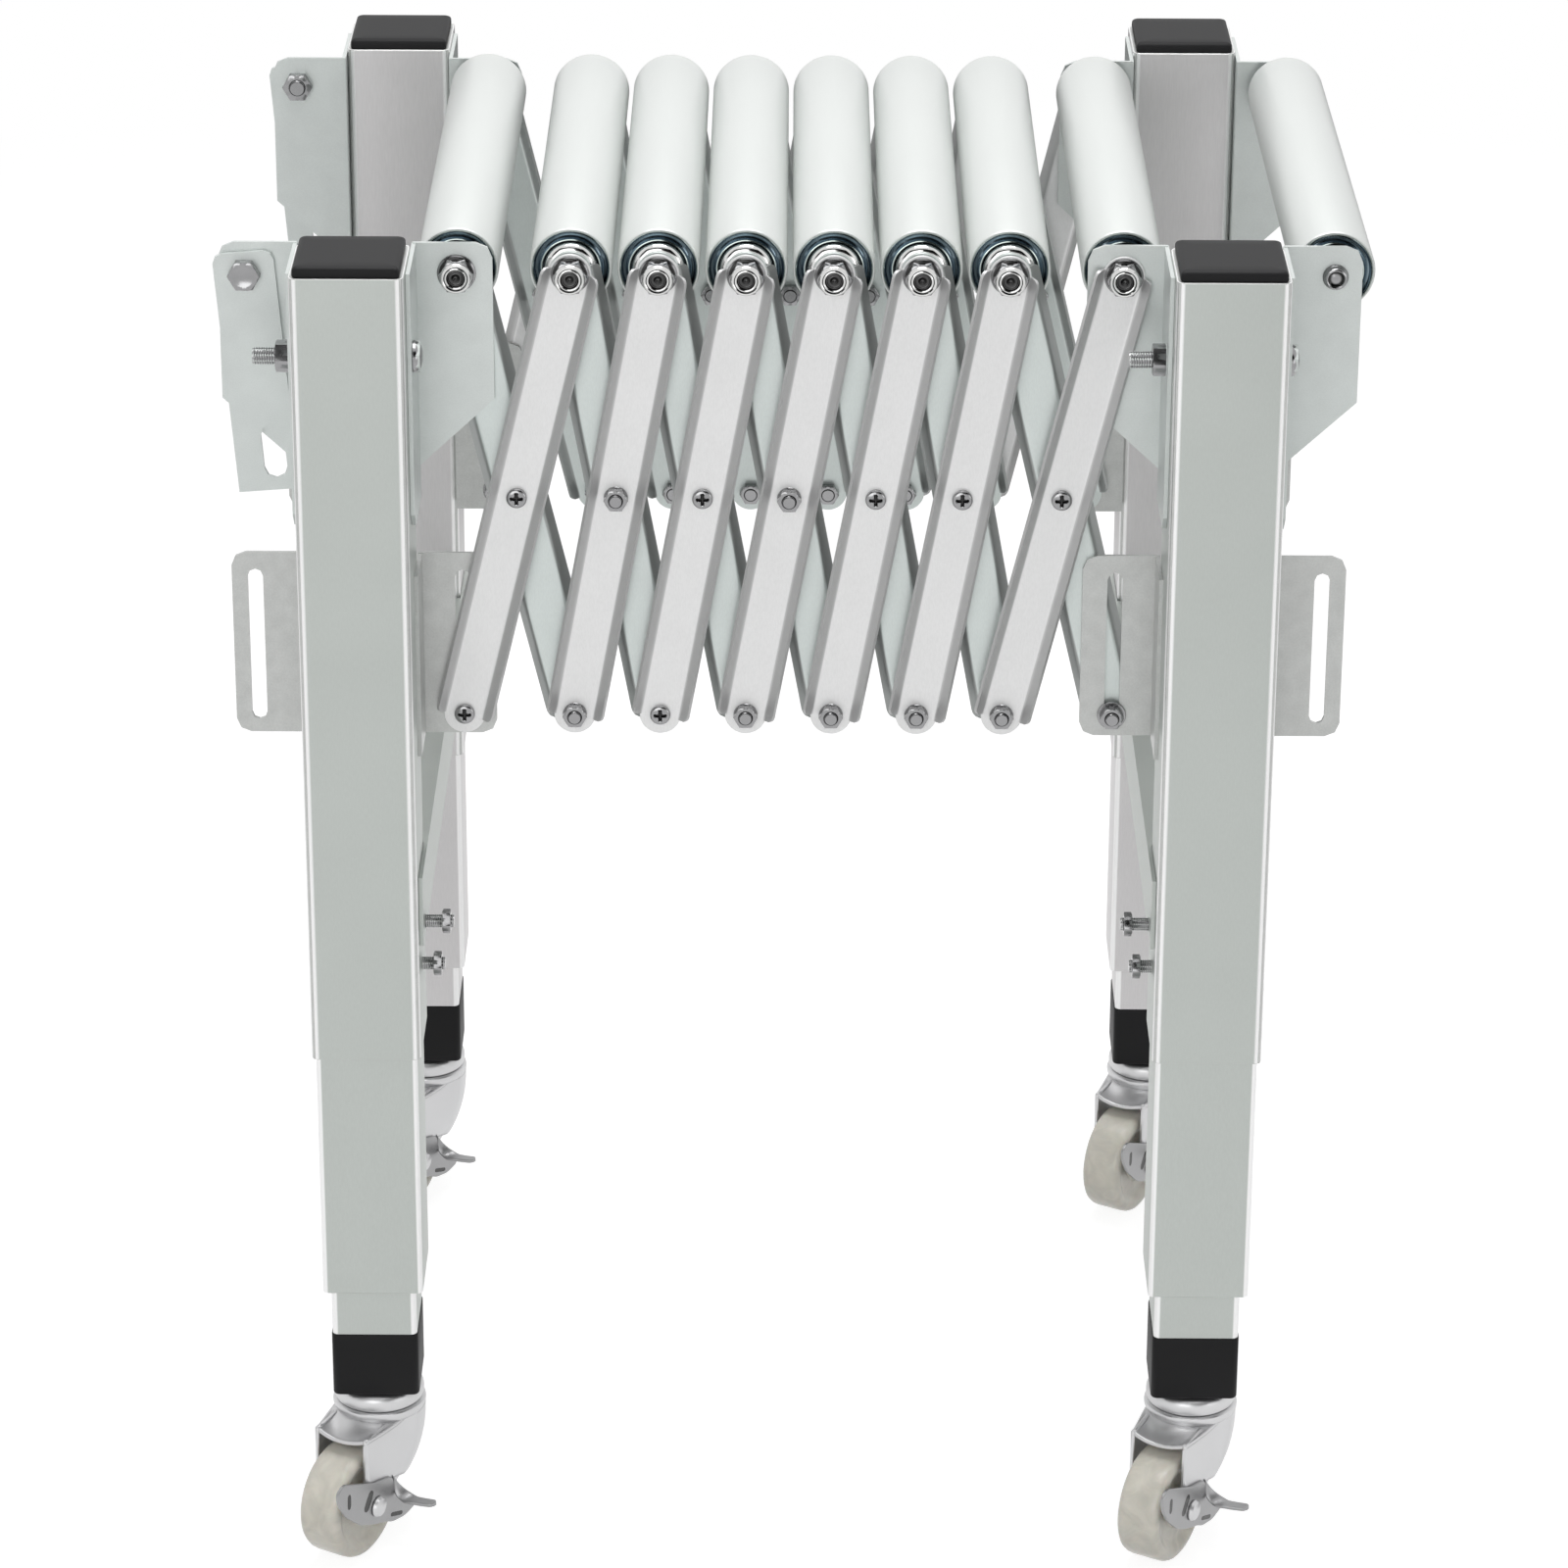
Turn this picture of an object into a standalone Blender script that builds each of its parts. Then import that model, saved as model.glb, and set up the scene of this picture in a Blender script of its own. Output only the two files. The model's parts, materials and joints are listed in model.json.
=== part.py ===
"""Gravity roller conveyor on telescopic legs: an expanding scissor track that carries free rollers.

Nine steel rollers ride on axles between a near and a far row of scissor arms. Each end of the track is
held by two square posts with brackets, and each post holds two sliding tubes and a braked caster.
X is the travel direction, Y runs along the rollers and Z is up. The floor is at zero.
"""

import math

import bmesh
import bpy
from mathutils import Matrix, Vector

# Clearances and overlaps
GAP = 0.0003
BITE = 0.0004
CUT_OVERRUN = 0.002
SAME_POINT = 0.000003

# Rollers
ROLLER_RADIUS = 0.025
ROLLER_COUNT = 9
ROLLER_WALL = 0.0015
ROLLER_END_DEPTH = 0.0202
HUB_DEPTH = 0.0153
HUB_TIP_RADIUS = 0.008
HUB_BASE_RADIUS = 0.0145
BEARING_DEPTH = 0.0035
ROLLER_SIDES = 16

# Axles, pins and nuts
AXLE_RADIUS = 0.006
AXLE_NUT_HALF = 0.009
AXLE_NUT_HEIGHT = 0.0085
AXLE_FLANGE_RADIUS = 0.0112
AXLE_FLANGE_HEIGHT = 0.0016
AXLE_STUD = 0.001
PIN_RADIUS = 0.004
PIN_HEAD_RADIUS = 0.0062
PIN_HEAD_HEIGHT = 0.0035
PIN_NUT_HALF = 0.0065
PIN_NUT_HEIGHT = 0.006
PIN_STUD = 0.0022
SPACER_RADIUS = 0.009
WASHER_HEIGHT = 0.0015
PIN_SIDES = 8
AXLE_SIDES = 10
NUT_SIDES = 6

# Scissor arms
CELL_COUNT = 7
PIVOT_HEIGHT = 0.286
MID_PITCH = 0.053
END_PITCH = 0.0685
ARM_SHEET = 0.002
ARM_WEB_HALF = 0.0128
ARM_HALF_WIDTH = 0.018
ARM_FLANGE_DEPTH = 0.006
ARM_FLANGE_PAST_PIVOT = 0.002
FRONT_WEB_DEPTH = 0.0075
OPEN_PIVOT_PLAY = 0.0016
TAB_STEPS = 5
MIDS_WITH_NUT = (2, 4)
BOTTOMS_WITH_NUT = (2, 4, 5, 6, 7)

# Posts
POST_SIDE = 0.068
POST_WALL = 0.002
POST_LENGTH = 0.51
POST_CORNER = 0.004
TRACK_WIDTH_INSIDE_POSTS = 0.42
PIVOT_REACH = 0.027
PIVOT_DROP = 0.021
CORNER_STEPS = 2
CAP_SIDE = 0.0615
CAP_RISE = 0.0062
CAP_BEVEL = 0.0022
CAP_DEPTH = 0.005

# Upper brackets
SHEET = 0.0025
PLATE_DEPTH = 0.0098
BRACKET_REACH = 0.048
BRACKET_TOP_DROP = 0.002
BRACKET_EDGE_ABOVE_GUIDE = 0.1003
BRACKET_TAPER_ABOVE_GUIDE = 0.0553
BRACKET_FLANGE_ABOVE_GUIDE = 0.0369
BRACKET_CORNER = 0.01
BRACKET_FLANGE_WIDTH = 0.05
HOOK_REACH = 0.0325
THROUGH_BOLT_DROP = 0.059
THROUGH_BOLT_RADIUS = 0.005
THROUGH_BOLT_HEAD_RADIUS = 0.0095
THROUGH_BOLT_HEAD_HEIGHT = 0.0045
THROUGH_NUT_HALF = 0.0085
THROUGH_NUT_HEIGHT = 0.008
THROUGH_BOLT_STUD = 0.014

# Slotted guide plates on the posts
GUIDE_MARGIN_ABOVE = 0.011
GUIDE_MARGIN_BELOW = 0.0085
GUIDE_REACH = 0.047
GUIDE_CORNER = 0.009
GUIDE_FLANGE_WIDTH = 0.03
SLOT_HALF_WIDTH = 0.0047
SLOT_LENGTH = 0.1
SLOT_BOTTOM_PLAY = 0.0006
SLOT_STEPS = 4

# Cross rails and lock studs
RAIL_HEIGHT = 0.046
RAIL_ABOVE_POST_END = 0.073
RAIL_FLANGE = 0.022
RAIL_END_INSET = 0.012
LOCK_STUD_RADIUS = 0.004
LOCK_STUD_ABOVE_RAIL_EDGE = 0.007
LOCK_STUD_SPACING = 0.029
LOCK_STUD_LENGTH = 0.02
LOCK_SHORT_STUD_LENGTH = 0.014
LOCK_NUT_HALF = 0.0065
LOCK_NUT_HEIGHT = 0.0065

# Coupling links
LINK_SHEET = 0.003
LINK_HALF_WIDTH = 0.0185
LINK_ABOVE_PIVOT = 0.0135
LINK_BELOW_PIVOT = 0.139
LINK_CORNER = 0.006
LINK_LEAN_DEGREES = 4.5
LINK_SLOT_HALF_WIDTH = 0.007
LINK_SLOT_LENGTH = 0.035
LINK_SLOT_DROP = 0.114
LINK_SLOT_OFFSET = 0.0055
LINK_BOLT_RADIUS = 0.006
LINK_BOLT_HEAD_HALF = 0.0085
LINK_BOLT_HEAD_HEIGHT = 0.0055

# Telescopic tubes
TUBE_CLEARANCE = 0.0003
MID_WALL = 0.002
MID_LENGTH = 0.4
MID_EXPOSED = 0.166
INNER_SIDE = 0.054
INNER_WALL = 0.002
INNER_LENGTH = 0.38
INNER_EXPOSED = 0.032
INNER_COLLAR_HEIGHT = 0.02
FOOT_HEIGHT = 0.044

# Casters
WHEEL_RADIUS = 0.0375
WHEEL_HALF_WIDTH = 0.0145
WHEEL_TREAD_HALF = 0.009
WHEEL_SHOULDER = 0.0035
WHEEL_DISH = 0.004
WHEEL_DISH_RADIUS = 0.026
WHEEL_HUB_RADIUS = 0.013
WHEEL_SIDES = 20
CASTER_DROP = 0.072
CASTER_TRAIL = 0.038
CASTER_TURN_DEGREES = 30
KINGPIN_RADIUS = 0.006
KINGPIN_HEAD_RADIUS = 0.009
KINGPIN_HEAD_HEIGHT = 0.0025
RACE_RADIUS = 0.0285
RACE_HEIGHT = 0.007
CROWN_RADIUS = 0.025
CROWN_SHEET = 0.0035
CROWN_DROP = 0.0185
FORK_SHEET = 0.0025
FORK_HALF_WIDTH = 0.0195
FORK_BOSS = 0.009
FORK_REAR = 0.0245
FORK_FRONT_LEAD = 0.006
FORK_REAR_FALL = 0.034
CASTER_AXLE_RADIUS = 0.005
RIVET_RADIUS = 0.0075
RIVET_HEIGHT = 0.003
BRAKE_SHEET = 0.0025
BRAKE_FRONT = 0.03
BRAKE_REAR = 0.04
BRAKE_UP = 0.026
BRAKE_DOWN = 0.014
PEDAL_LENGTH = 0.028
PEDAL_FALL = 0.009
PEDAL_WIDTH = 0.018
ROUND_SIDES = 14

FOOT_BOTTOM = WHEEL_RADIUS * math.cos(math.pi / WHEEL_SIDES) + CASTER_DROP
POST_BOTTOM = FOOT_BOTTOM + FOOT_HEIGHT + INNER_EXPOSED + MID_EXPOSED
POST_TOP = POST_BOTTOM + POST_LENGTH
POST_HALF = POST_SIDE / 2
INNER_FACE = TRACK_WIDTH_INSIDE_POSTS / 2
POST_Y = INNER_FACE + POST_HALF
TRACK_LENGTH = 2 * END_PITCH + (CELL_COUNT - 2) * MID_PITCH
POST_X = TRACK_LENGTH / 2 + PIVOT_REACH + POST_HALF
HOOK_X = POST_X + POST_HALF + HOOK_REACH
TOP_PIVOT_Z = POST_TOP - PIVOT_DROP
BOTTOM_PIVOT_Z = TOP_PIVOT_Z - PIVOT_HEIGHT
MID_SIDE = POST_SIDE - 2 * POST_WALL - 2 * TUBE_CLEARANCE
BACK_WEB_DEPTH = PLATE_DEPTH + SHEET + GAP
SLOT_LOW_Z = BOTTOM_PIVOT_Z - SLOT_BOTTOM_PLAY
SLOT_HIGH_Z = SLOT_LOW_Z + SLOT_LENGTH - 2 * SLOT_HALF_WIDTH
GUIDE_BOTTOM = SLOT_LOW_Z - SLOT_HALF_WIDTH - GUIDE_MARGIN_BELOW
GUIDE_TOP = SLOT_HIGH_Z + SLOT_HALF_WIDTH + GUIDE_MARGIN_ABOVE
RAIL_BOTTOM = POST_BOTTOM + RAIL_ABOVE_POST_END
LOCK_STUD_Z = RAIL_BOTTOM + LOCK_STUD_ABOVE_RAIL_EDGE
PLATE_BACK = PLATE_DEPTH + SHEET
SIDES = {"near": -1, "far": 1}
ENDS = {"left": -1, "right": 1}
FULL_TURN = 2 * math.pi

COLOURS = {
    "galvanised": ((0.55, 0.57, 0.56), 0.42, 0.9),
    "roller_tube": ((0.78, 0.79, 0.78), 0.3, 0.9),
    "arm_front": ((0.74, 0.74, 0.74), 0.4, 0.7),
    "arm_back": ((0.6, 0.64, 0.63), 0.4, 0.7),
    "bright_steel": ((0.7, 0.7, 0.71), 0.25, 1.0),
    "nylon": ((0.75, 0.73, 0.66), 0.3, 0.0),
    "brake": ((0.38, 0.38, 0.38), 0.45, 0.8),
}


def clear_scene():
    """Removes every object that the file opened with."""
    for obj in list(bpy.data.objects):
        bpy.data.objects.remove(obj, do_unlink=True)


def material(name):
    """A Principled material from the colour table, made once."""
    if name in bpy.data.materials:
        return bpy.data.materials[name]
    colour, roughness, metallic = COLOURS[name]
    made = bpy.data.materials.new(name)
    made.use_nodes = True
    shader = made.node_tree.nodes["Principled BSDF"]
    shader.inputs["Base Color"].default_value = (*colour, 1)
    shader.inputs["Roughness"].default_value = roughness
    shader.inputs["Metallic"].default_value = metallic
    return made


def solid_from(builder):
    """A temporary object that holds the mesh of a bmesh, with its faces turned outwards."""
    bmesh.ops.recalc_face_normals(builder, faces=builder.faces)
    mesh = bpy.data.meshes.new("solid")
    builder.to_mesh(mesh)
    builder.free()
    obj = bpy.data.objects.new("solid", mesh)
    bpy.context.scene.collection.objects.link(obj)
    return obj


def prism(outline, axis, low, high):
    """The outline, in the two other axes in XYZ order, carried straight along one axis."""
    builder = bmesh.new()
    place = {
        "X": lambda a, b, c: (c, a, b),
        "Y": lambda a, b, c: (a, c, b),
        "Z": lambda a, b, c: (a, b, c),
    }[axis]
    low, high = min(low, high), max(low, high)
    bottom = [builder.verts.new(place(a, b, low)) for a, b in outline]
    top = [builder.verts.new(place(a, b, high)) for a, b in outline]
    builder.faces.new(bottom)
    builder.faces.new(list(reversed(top)))
    for i in range(len(outline)):
        j = (i + 1) % len(outline)
        builder.faces.new((bottom[i], bottom[j], top[j], top[i]))
    return solid_from(builder)


def ring(profile, sides, axis="Y"):
    """A turned solid with a bore: the closed profile of (radius, height) goes once round the axis."""
    builder = bmesh.new()
    rows = []
    for side in range(sides):
        angle = FULL_TURN * (side + 0.5) / sides
        row = []
        for radius, height in profile:
            across = (radius * math.sin(angle), radius * math.cos(angle))
            point = {
                "Y": (across[0], height, across[1]),
                "Z": (across[0], across[1], height),
            }[axis]
            row.append(builder.verts.new(point))
        rows.append(row)
    for side, row in enumerate(rows):
        other = rows[(side + 1) % sides]
        for i in range(len(profile)):
            j = (i + 1) % len(profile)
            builder.faces.new((row[i], row[j], other[j], other[i]))
    return solid_from(builder)


def polygon(centre, radius, sides):
    """A regular polygon with a flat side downwards."""
    points = []
    for side in range(sides):
        angle = FULL_TURN * (side + 0.5) / sides
        points.append((centre[0] + radius * math.sin(angle), centre[1] - radius * math.cos(angle)))
    return points


def rod(axis, centre, radius, low, high, sides=PIN_SIDES):
    """A round bar along one axis."""
    return prism(polygon(centre, radius, sides), axis, low, high)


def bore(axis, centre, radius, low, high, sides=PIN_SIDES):
    """A cutter whose flats clear a round bar of the given radius at any turn."""
    return rod(axis, centre, radius / math.cos(math.pi / sides), low, high, sides)


def nut(axis, centre, half_across, low, high):
    """A hexagon of the given half size across flats, along one axis."""
    corner = half_across / math.cos(math.pi / NUT_SIDES)
    return prism(polygon(centre, corner, NUT_SIDES), axis, low, high)


def rectangle(low_a, high_a, low_b, high_b):
    return [(low_a, low_b), (high_a, low_b), (high_a, high_b), (low_a, high_b)]


def arc(centre, radius, start, end, steps):
    """Points on a circle from one angle to another, both ends included."""
    points = []
    for step in range(steps + 1):
        angle = start + (end - start) * step / steps
        points.append((centre[0] + radius * math.cos(angle), centre[1] + radius * math.sin(angle)))
    return points


def rounded_square(half, corner):
    """A square outline with round corners."""
    points = []
    for quarter, (a, b) in enumerate(((1, 1), (-1, 1), (-1, -1), (1, -1))):
        start = quarter * math.pi / 2
        centre = (a * (half - corner), b * (half - corner))
        points += arc(centre, corner, start, start + math.pi / 2, CORNER_STEPS)
    return points


def upright_slot(centre_a, low_b, high_b, half_width, steps):
    """An upright slot with round ends whose centres are at low_b and high_b."""
    upper = arc((centre_a, high_b), half_width, 0, math.pi, steps)
    lower = arc((centre_a, low_b), half_width, math.pi, FULL_TURN, steps)
    return upper + lower


def boolean(target, tools, operation):
    """The target with the tools added or cut away, one after another, as a plain mesh."""
    group = bpy.data.collections.new("tools")
    for tool in tools:
        group.objects.link(tool)
        tool.hide_render = True
        tool.display_type = "WIRE"
    step = target.modifiers.new(operation.lower(), "BOOLEAN")
    step.operation = operation
    step.solver = "EXACT"
    step.operand_type = "COLLECTION"
    step.collection = group
    graph = bpy.context.evaluated_depsgraph_get()
    mesh = bpy.data.meshes.new_from_object(target.evaluated_get(graph))
    target.modifiers.clear()
    cleaner = bmesh.new()
    cleaner.from_mesh(mesh)
    bmesh.ops.remove_doubles(cleaner, verts=cleaner.verts, dist=SAME_POINT)
    bmesh.ops.dissolve_degenerate(cleaner, edges=cleaner.edges, dist=SAME_POINT)
    cleaner.to_mesh(mesh)
    cleaner.free()
    target.data = mesh
    for tool in tools:
        bpy.data.objects.remove(tool, do_unlink=True)
    bpy.data.collections.remove(group)
    return target


def fuse(pieces):
    return boolean(pieces[0], pieces[1:], "UNION")


def cut(target, tools):
    return boolean(target, tools, "DIFFERENCE")


def inward(side, depth):
    """The Y of a depth measured from the posts' inner face towards the middle of the track."""
    return side * (INNER_FACE - depth)


def finish(name, obj, colour, origin=(0, 0, 0), turn=0.0, parent=None):
    """Names the piece, and puts its origin on its joint's axis."""
    obj.name = name
    obj.data.name = name
    obj.data.materials.clear()
    obj.data.materials.append(material(colour))
    obj.data.shade_smooth()
    obj.data.set_sharp_from_angle(angle=math.radians(30))
    obj.location = origin
    obj.rotation_euler = (0, turn, 0)
    obj.parent = parent
    return obj


def shifted(obj, origin):
    """The same solid with its mesh counted from the given origin."""
    obj.data.transform(Matrix.Translation(-Vector(origin)))
    return obj


def arm_length(cell):
    """Pivot to pivot, worked out so that every cell has the same height."""
    pitch = END_PITCH if cell in (1, CELL_COUNT) else MID_PITCH
    return math.hypot(PIVOT_HEIGHT, pitch)


def arm_lean(cell):
    """The angle between an arm and the vertical."""
    pitch = END_PITCH if cell in (1, CELL_COUNT) else MID_PITCH
    return math.atan2(pitch, PIVOT_HEIGHT)


def pivot_x(index):
    """The X of a top pivot, counted from 1 at the left end."""
    if index == 1:
        return -TRACK_LENGTH / 2
    if index == CELL_COUNT + 1:
        return TRACK_LENGTH / 2
    return -TRACK_LENGTH / 2 + END_PITCH + (index - 2) * MID_PITCH


def cell_centre(cell):
    """The middle pivot of a cell."""
    across = (pivot_x(cell) + pivot_x(cell + 1)) / 2
    return Vector((across, 0, TOP_PIVOT_Z - PIVOT_HEIGHT / 2))


def arm_bar(length, side, web_depth, flange_way):
    """One pressed channel: a flat web with round ends and two bent flanges, upright at the origin."""
    half = length / 2
    web = prism(
        upright_slot(0, -half, half, ARM_WEB_HALF, TAB_STEPS),
        "Y",
        inward(side, web_depth),
        inward(side, web_depth + ARM_SHEET),
    )
    web_centre = web_depth + ARM_SHEET / 2
    run = ARM_HALF_WIDTH - ARM_WEB_HALF
    rise = ARM_FLANGE_DEPTH * flange_way
    reach = math.hypot(run, rise)
    normal = Vector((-rise / reach, run / reach)) * (ARM_SHEET / 2 - BITE / 2)
    pieces = [web]
    for hand in (-1, 1):
        start = Vector((ARM_WEB_HALF - ARM_SHEET / 2, web_centre))
        tip = Vector((ARM_HALF_WIDTH, web_centre + rise))
        corners = (start - normal, tip - normal, tip + normal, start + normal)
        outline = [(hand * corner.x, inward(side, corner.y)) for corner in corners]
        end = half + ARM_FLANGE_PAST_PIVOT
        pieces.append(prism(outline, "Z", -end, end))
    return pieces


def outer_fastener(side, height, face_depth, with_nut):
    """The round head or the nut that shows on the outer side of a pin, with the end of its stud."""
    seat = inward(side, face_depth + BITE / 2)
    if with_nut:
        end = inward(side, face_depth - PIN_NUT_HEIGHT)
        stud = inward(side, face_depth - PIN_NUT_HEIGHT - PIN_STUD)
        shank = rod("Y", (0, height), PIN_RADIUS, seat, stud)
        return [nut("Y", (0, height), PIN_NUT_HALF, seat, end), shank]
    end = inward(side, face_depth - PIN_HEAD_HEIGHT)
    return [rod("Y", (0, height), PIN_HEAD_RADIUS, seat, end)]


def pin_through(side, height, with_nut):
    """A pivot pin fixed in a front arm: its shank, its spacer and the nut behind the back arm."""
    web_back = FRONT_WEB_DEPTH + ARM_SHEET
    behind = BACK_WEB_DEPTH + ARM_SHEET + GAP
    pieces = outer_fastener(side, height, FRONT_WEB_DEPTH, with_nut)
    shank_ends = (inward(side, FRONT_WEB_DEPTH + BITE), inward(side, behind + PIN_NUT_HEIGHT - BITE))
    pieces.append(rod("Y", (0, height), PIN_RADIUS, *shank_ends))
    spacer_ends = (inward(side, web_back - BITE), inward(side, BACK_WEB_DEPTH - GAP))
    pieces.append(rod("Y", (0, height), SPACER_RADIUS, *spacer_ends))
    nut_ends = (inward(side, behind), inward(side, behind + PIN_NUT_HEIGHT))
    pieces.append(nut("Y", (0, height), PIN_NUT_HALF, *nut_ends))
    return pieces


def slot_pin_front(side, height):
    """The pin at the foot of the first front arm, which slides in the left guide plates."""
    behind = PLATE_BACK + GAP
    ends = (inward(side, FRONT_WEB_DEPTH + BITE), inward(side, behind + WASHER_HEIGHT + PIN_NUT_HEIGHT - BITE))
    washer_ends = (inward(side, behind), inward(side, behind + WASHER_HEIGHT))
    nut_start = behind + WASHER_HEIGHT - BITE
    pieces = outer_fastener(side, height, FRONT_WEB_DEPTH, False)
    pieces.append(rod("Y", (0, height), PIN_RADIUS, *ends))
    pieces.append(rod("Y", (0, height), SPACER_RADIUS, *washer_ends))
    nut_ends = (inward(side, nut_start), inward(side, behind + WASHER_HEIGHT + PIN_NUT_HEIGHT))
    pieces.append(nut("Y", (0, height), PIN_NUT_HALF, *nut_ends))
    return pieces


def slot_pin_back(side, height):
    """The pin at the foot of the last back arm, which slides in the right guide plates."""
    face = PLATE_DEPTH - GAP
    washer = face - WASHER_HEIGHT
    head = BACK_WEB_DEPTH + ARM_SHEET
    shank_ends = (inward(side, washer - PIN_NUT_HEIGHT - PIN_STUD), inward(side, head + BITE))
    pieces = [rod("Y", (0, height), PIN_RADIUS, *shank_ends)]
    pieces.append(rod("Y", (0, height), SPACER_RADIUS, inward(side, face), inward(side, washer)))
    nut_ends = (inward(side, washer + BITE), inward(side, washer - PIN_NUT_HEIGHT))
    pieces.append(nut("Y", (0, height), PIN_NUT_HALF, *nut_ends))
    head_ends = (inward(side, head - BITE), inward(side, head + PIN_HEAD_HEIGHT))
    pieces.append(rod("Y", (0, height), PIN_HEAD_RADIUS, *head_ends))
    return pieces


def axle_nut(side, centre, seat):
    """A flanged nut on the end of an axle, seated at the given depth."""
    flange_end = seat - AXLE_FLANGE_HEIGHT
    flange = rod("Y", centre, AXLE_FLANGE_RADIUS, inward(side, seat), inward(side, flange_end), ROUND_SIDES)
    nut_ends = (inward(side, flange_end + BITE), inward(side, seat - AXLE_NUT_HEIGHT - AXLE_FLANGE_HEIGHT))
    return [flange, nut("Y", centre, AXLE_NUT_HALF, *nut_ends)]


def axle_end_depth(seat):
    return seat - AXLE_NUT_HEIGHT - AXLE_FLANGE_HEIGHT - AXLE_STUD


def axle(centre, seat):
    """The round bar through a roller, from nut to nut."""
    end = INNER_FACE - axle_end_depth(seat)
    return rod("Y", centre, AXLE_RADIUS, -end, end, AXLE_SIDES)


def front_arm_pair(cell, parent):
    """The near and far outer arms of a cell with the axle that joins their tops, and their pins."""
    length = arm_length(cell)
    top = length / 2
    centre = (0, top)
    pieces = [axle(centre, FRONT_WEB_DEPTH)]
    last = cell == CELL_COUNT
    for side in SIDES.values():
        pieces += arm_bar(length, side, FRONT_WEB_DEPTH, -1)
        pieces += axle_nut(side, centre, FRONT_WEB_DEPTH + BITE / 2)
        start = PLATE_BACK + GAP if last else FRONT_WEB_DEPTH + ARM_SHEET - BITE
        end = HUB_DEPTH - GAP if last else BACK_WEB_DEPTH - GAP
        pieces.append(rod("Y", centre, SPACER_RADIUS, inward(side, start), inward(side, end), AXLE_SIDES))
        pieces += pin_through(side, 0, cell in MIDS_WITH_NUT)
        if cell == 1:
            pieces += slot_pin_front(side, -top)
        else:
            pieces += pin_through(side, -top, cell in BOTTOMS_WITH_NUT)
    arm = fuse(pieces)
    name = f"front_arm_pair_{cell}"
    return finish(name, arm, "arm_front", cell_centre(cell), arm_lean(cell), parent)


def back_arm(cell, side, side_name, parent):
    """One inner arm of a cell, with holes for the pins and the axle that pass through it."""
    length = arm_length(cell)
    top = length / 2
    arm = fuse(arm_bar(length, side, BACK_WEB_DEPTH, 1))
    if cell == CELL_COUNT:
        arm = fuse([arm, *slot_pin_back(side, -top)])
    low = inward(side, BACK_WEB_DEPTH - CUT_OVERRUN)
    high = inward(side, BACK_WEB_DEPTH + ARM_SHEET + CUT_OVERRUN)
    tools = [bore("Y", (0, 0), PIN_RADIUS + GAP, low, high)]
    tools.append(bore("Y", (0, top), AXLE_RADIUS + GAP, low, high, AXLE_SIDES))
    if cell < CELL_COUNT:
        play = OPEN_PIVOT_PLAY if cell in (1, CELL_COUNT - 1) else GAP
        tools.append(bore("Y", (0, -top), PIN_RADIUS + play, low, high))
    arm = cut(arm, tools)
    shifted(arm, (0, 0, top))
    origin = (pivot_x(cell), 0, TOP_PIVOT_Z)
    return finish(f"{side_name}_back_arm_{cell}", arm, "arm_back", origin, -arm_lean(cell), parent)


def first_back_arm_pair(parent):
    """The first near and far inner arms, fixed to the axle of the first roller."""
    length = arm_length(1)
    top = length / 2
    seat = PLATE_DEPTH - GAP
    pieces = [axle((0, top), seat)]
    tools = []
    for side in SIDES.values():
        pieces += arm_bar(length, side, BACK_WEB_DEPTH, 1)
        pieces += axle_nut(side, (0, top), seat)
        low = inward(side, BACK_WEB_DEPTH - CUT_OVERRUN)
        high = inward(side, BACK_WEB_DEPTH + ARM_SHEET + CUT_OVERRUN)
        tools.append(bore("Y", (0, 0), PIN_RADIUS + GAP, low, high))
        tools.append(bore("Y", (0, -top), PIN_RADIUS + OPEN_PIVOT_PLAY, low, high))
    arm = cut(fuse(pieces), tools)
    shifted(arm, (0, 0, top))
    origin = (pivot_x(1), 0, TOP_PIVOT_Z)
    return finish("back_arm_pair_1", arm, "arm_back", origin, -arm_lean(1), parent)


def roller(index, parent):
    """A roller: a hollow tube whose ends are closed by a ring with a domed bearing hub."""
    rim = INNER_FACE - ROLLER_END_DEPTH
    hub = INNER_FACE - HUB_DEPTH
    hole = AXLE_RADIUS + GAP
    outer = [(hole, hub), (HUB_TIP_RADIUS, hub), (HUB_BASE_RADIUS, rim), (ROLLER_RADIUS, rim)]
    inner = [(ROLLER_RADIUS - ROLLER_WALL, rim - BEARING_DEPTH), (hole, rim - BEARING_DEPTH)]
    far_outer = [(radius, -height) for radius, height in reversed(outer)]
    near_inner = [(radius, -height) for radius, height in reversed(inner)]
    solid = ring(outer + far_outer + near_inner + inner, ROLLER_SIDES)
    across = HOOK_X if index == ROLLER_COUNT else pivot_x(index)
    return finish(f"roller_{index}", solid, "roller_tube", (across, 0, TOP_PIVOT_Z), 0.0, parent)


def hollow_tube(side_length, wall, low, high, corner):
    """A square tube with round corners, open at both ends, at the origin."""
    outer = prism(rounded_square(side_length / 2, corner), "Z", low, high)
    inner_half = side_length / 2 - wall
    inner_corner = max(corner - wall, corner / 2)
    hole = prism(rounded_square(inner_half, inner_corner), "Z", low - CUT_OVERRUN, high + CUT_OVERRUN)
    return cut(outer, [hole])


def moved(obj, offset):
    obj.data.transform(Matrix.Translation(Vector(offset)))
    return obj


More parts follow.
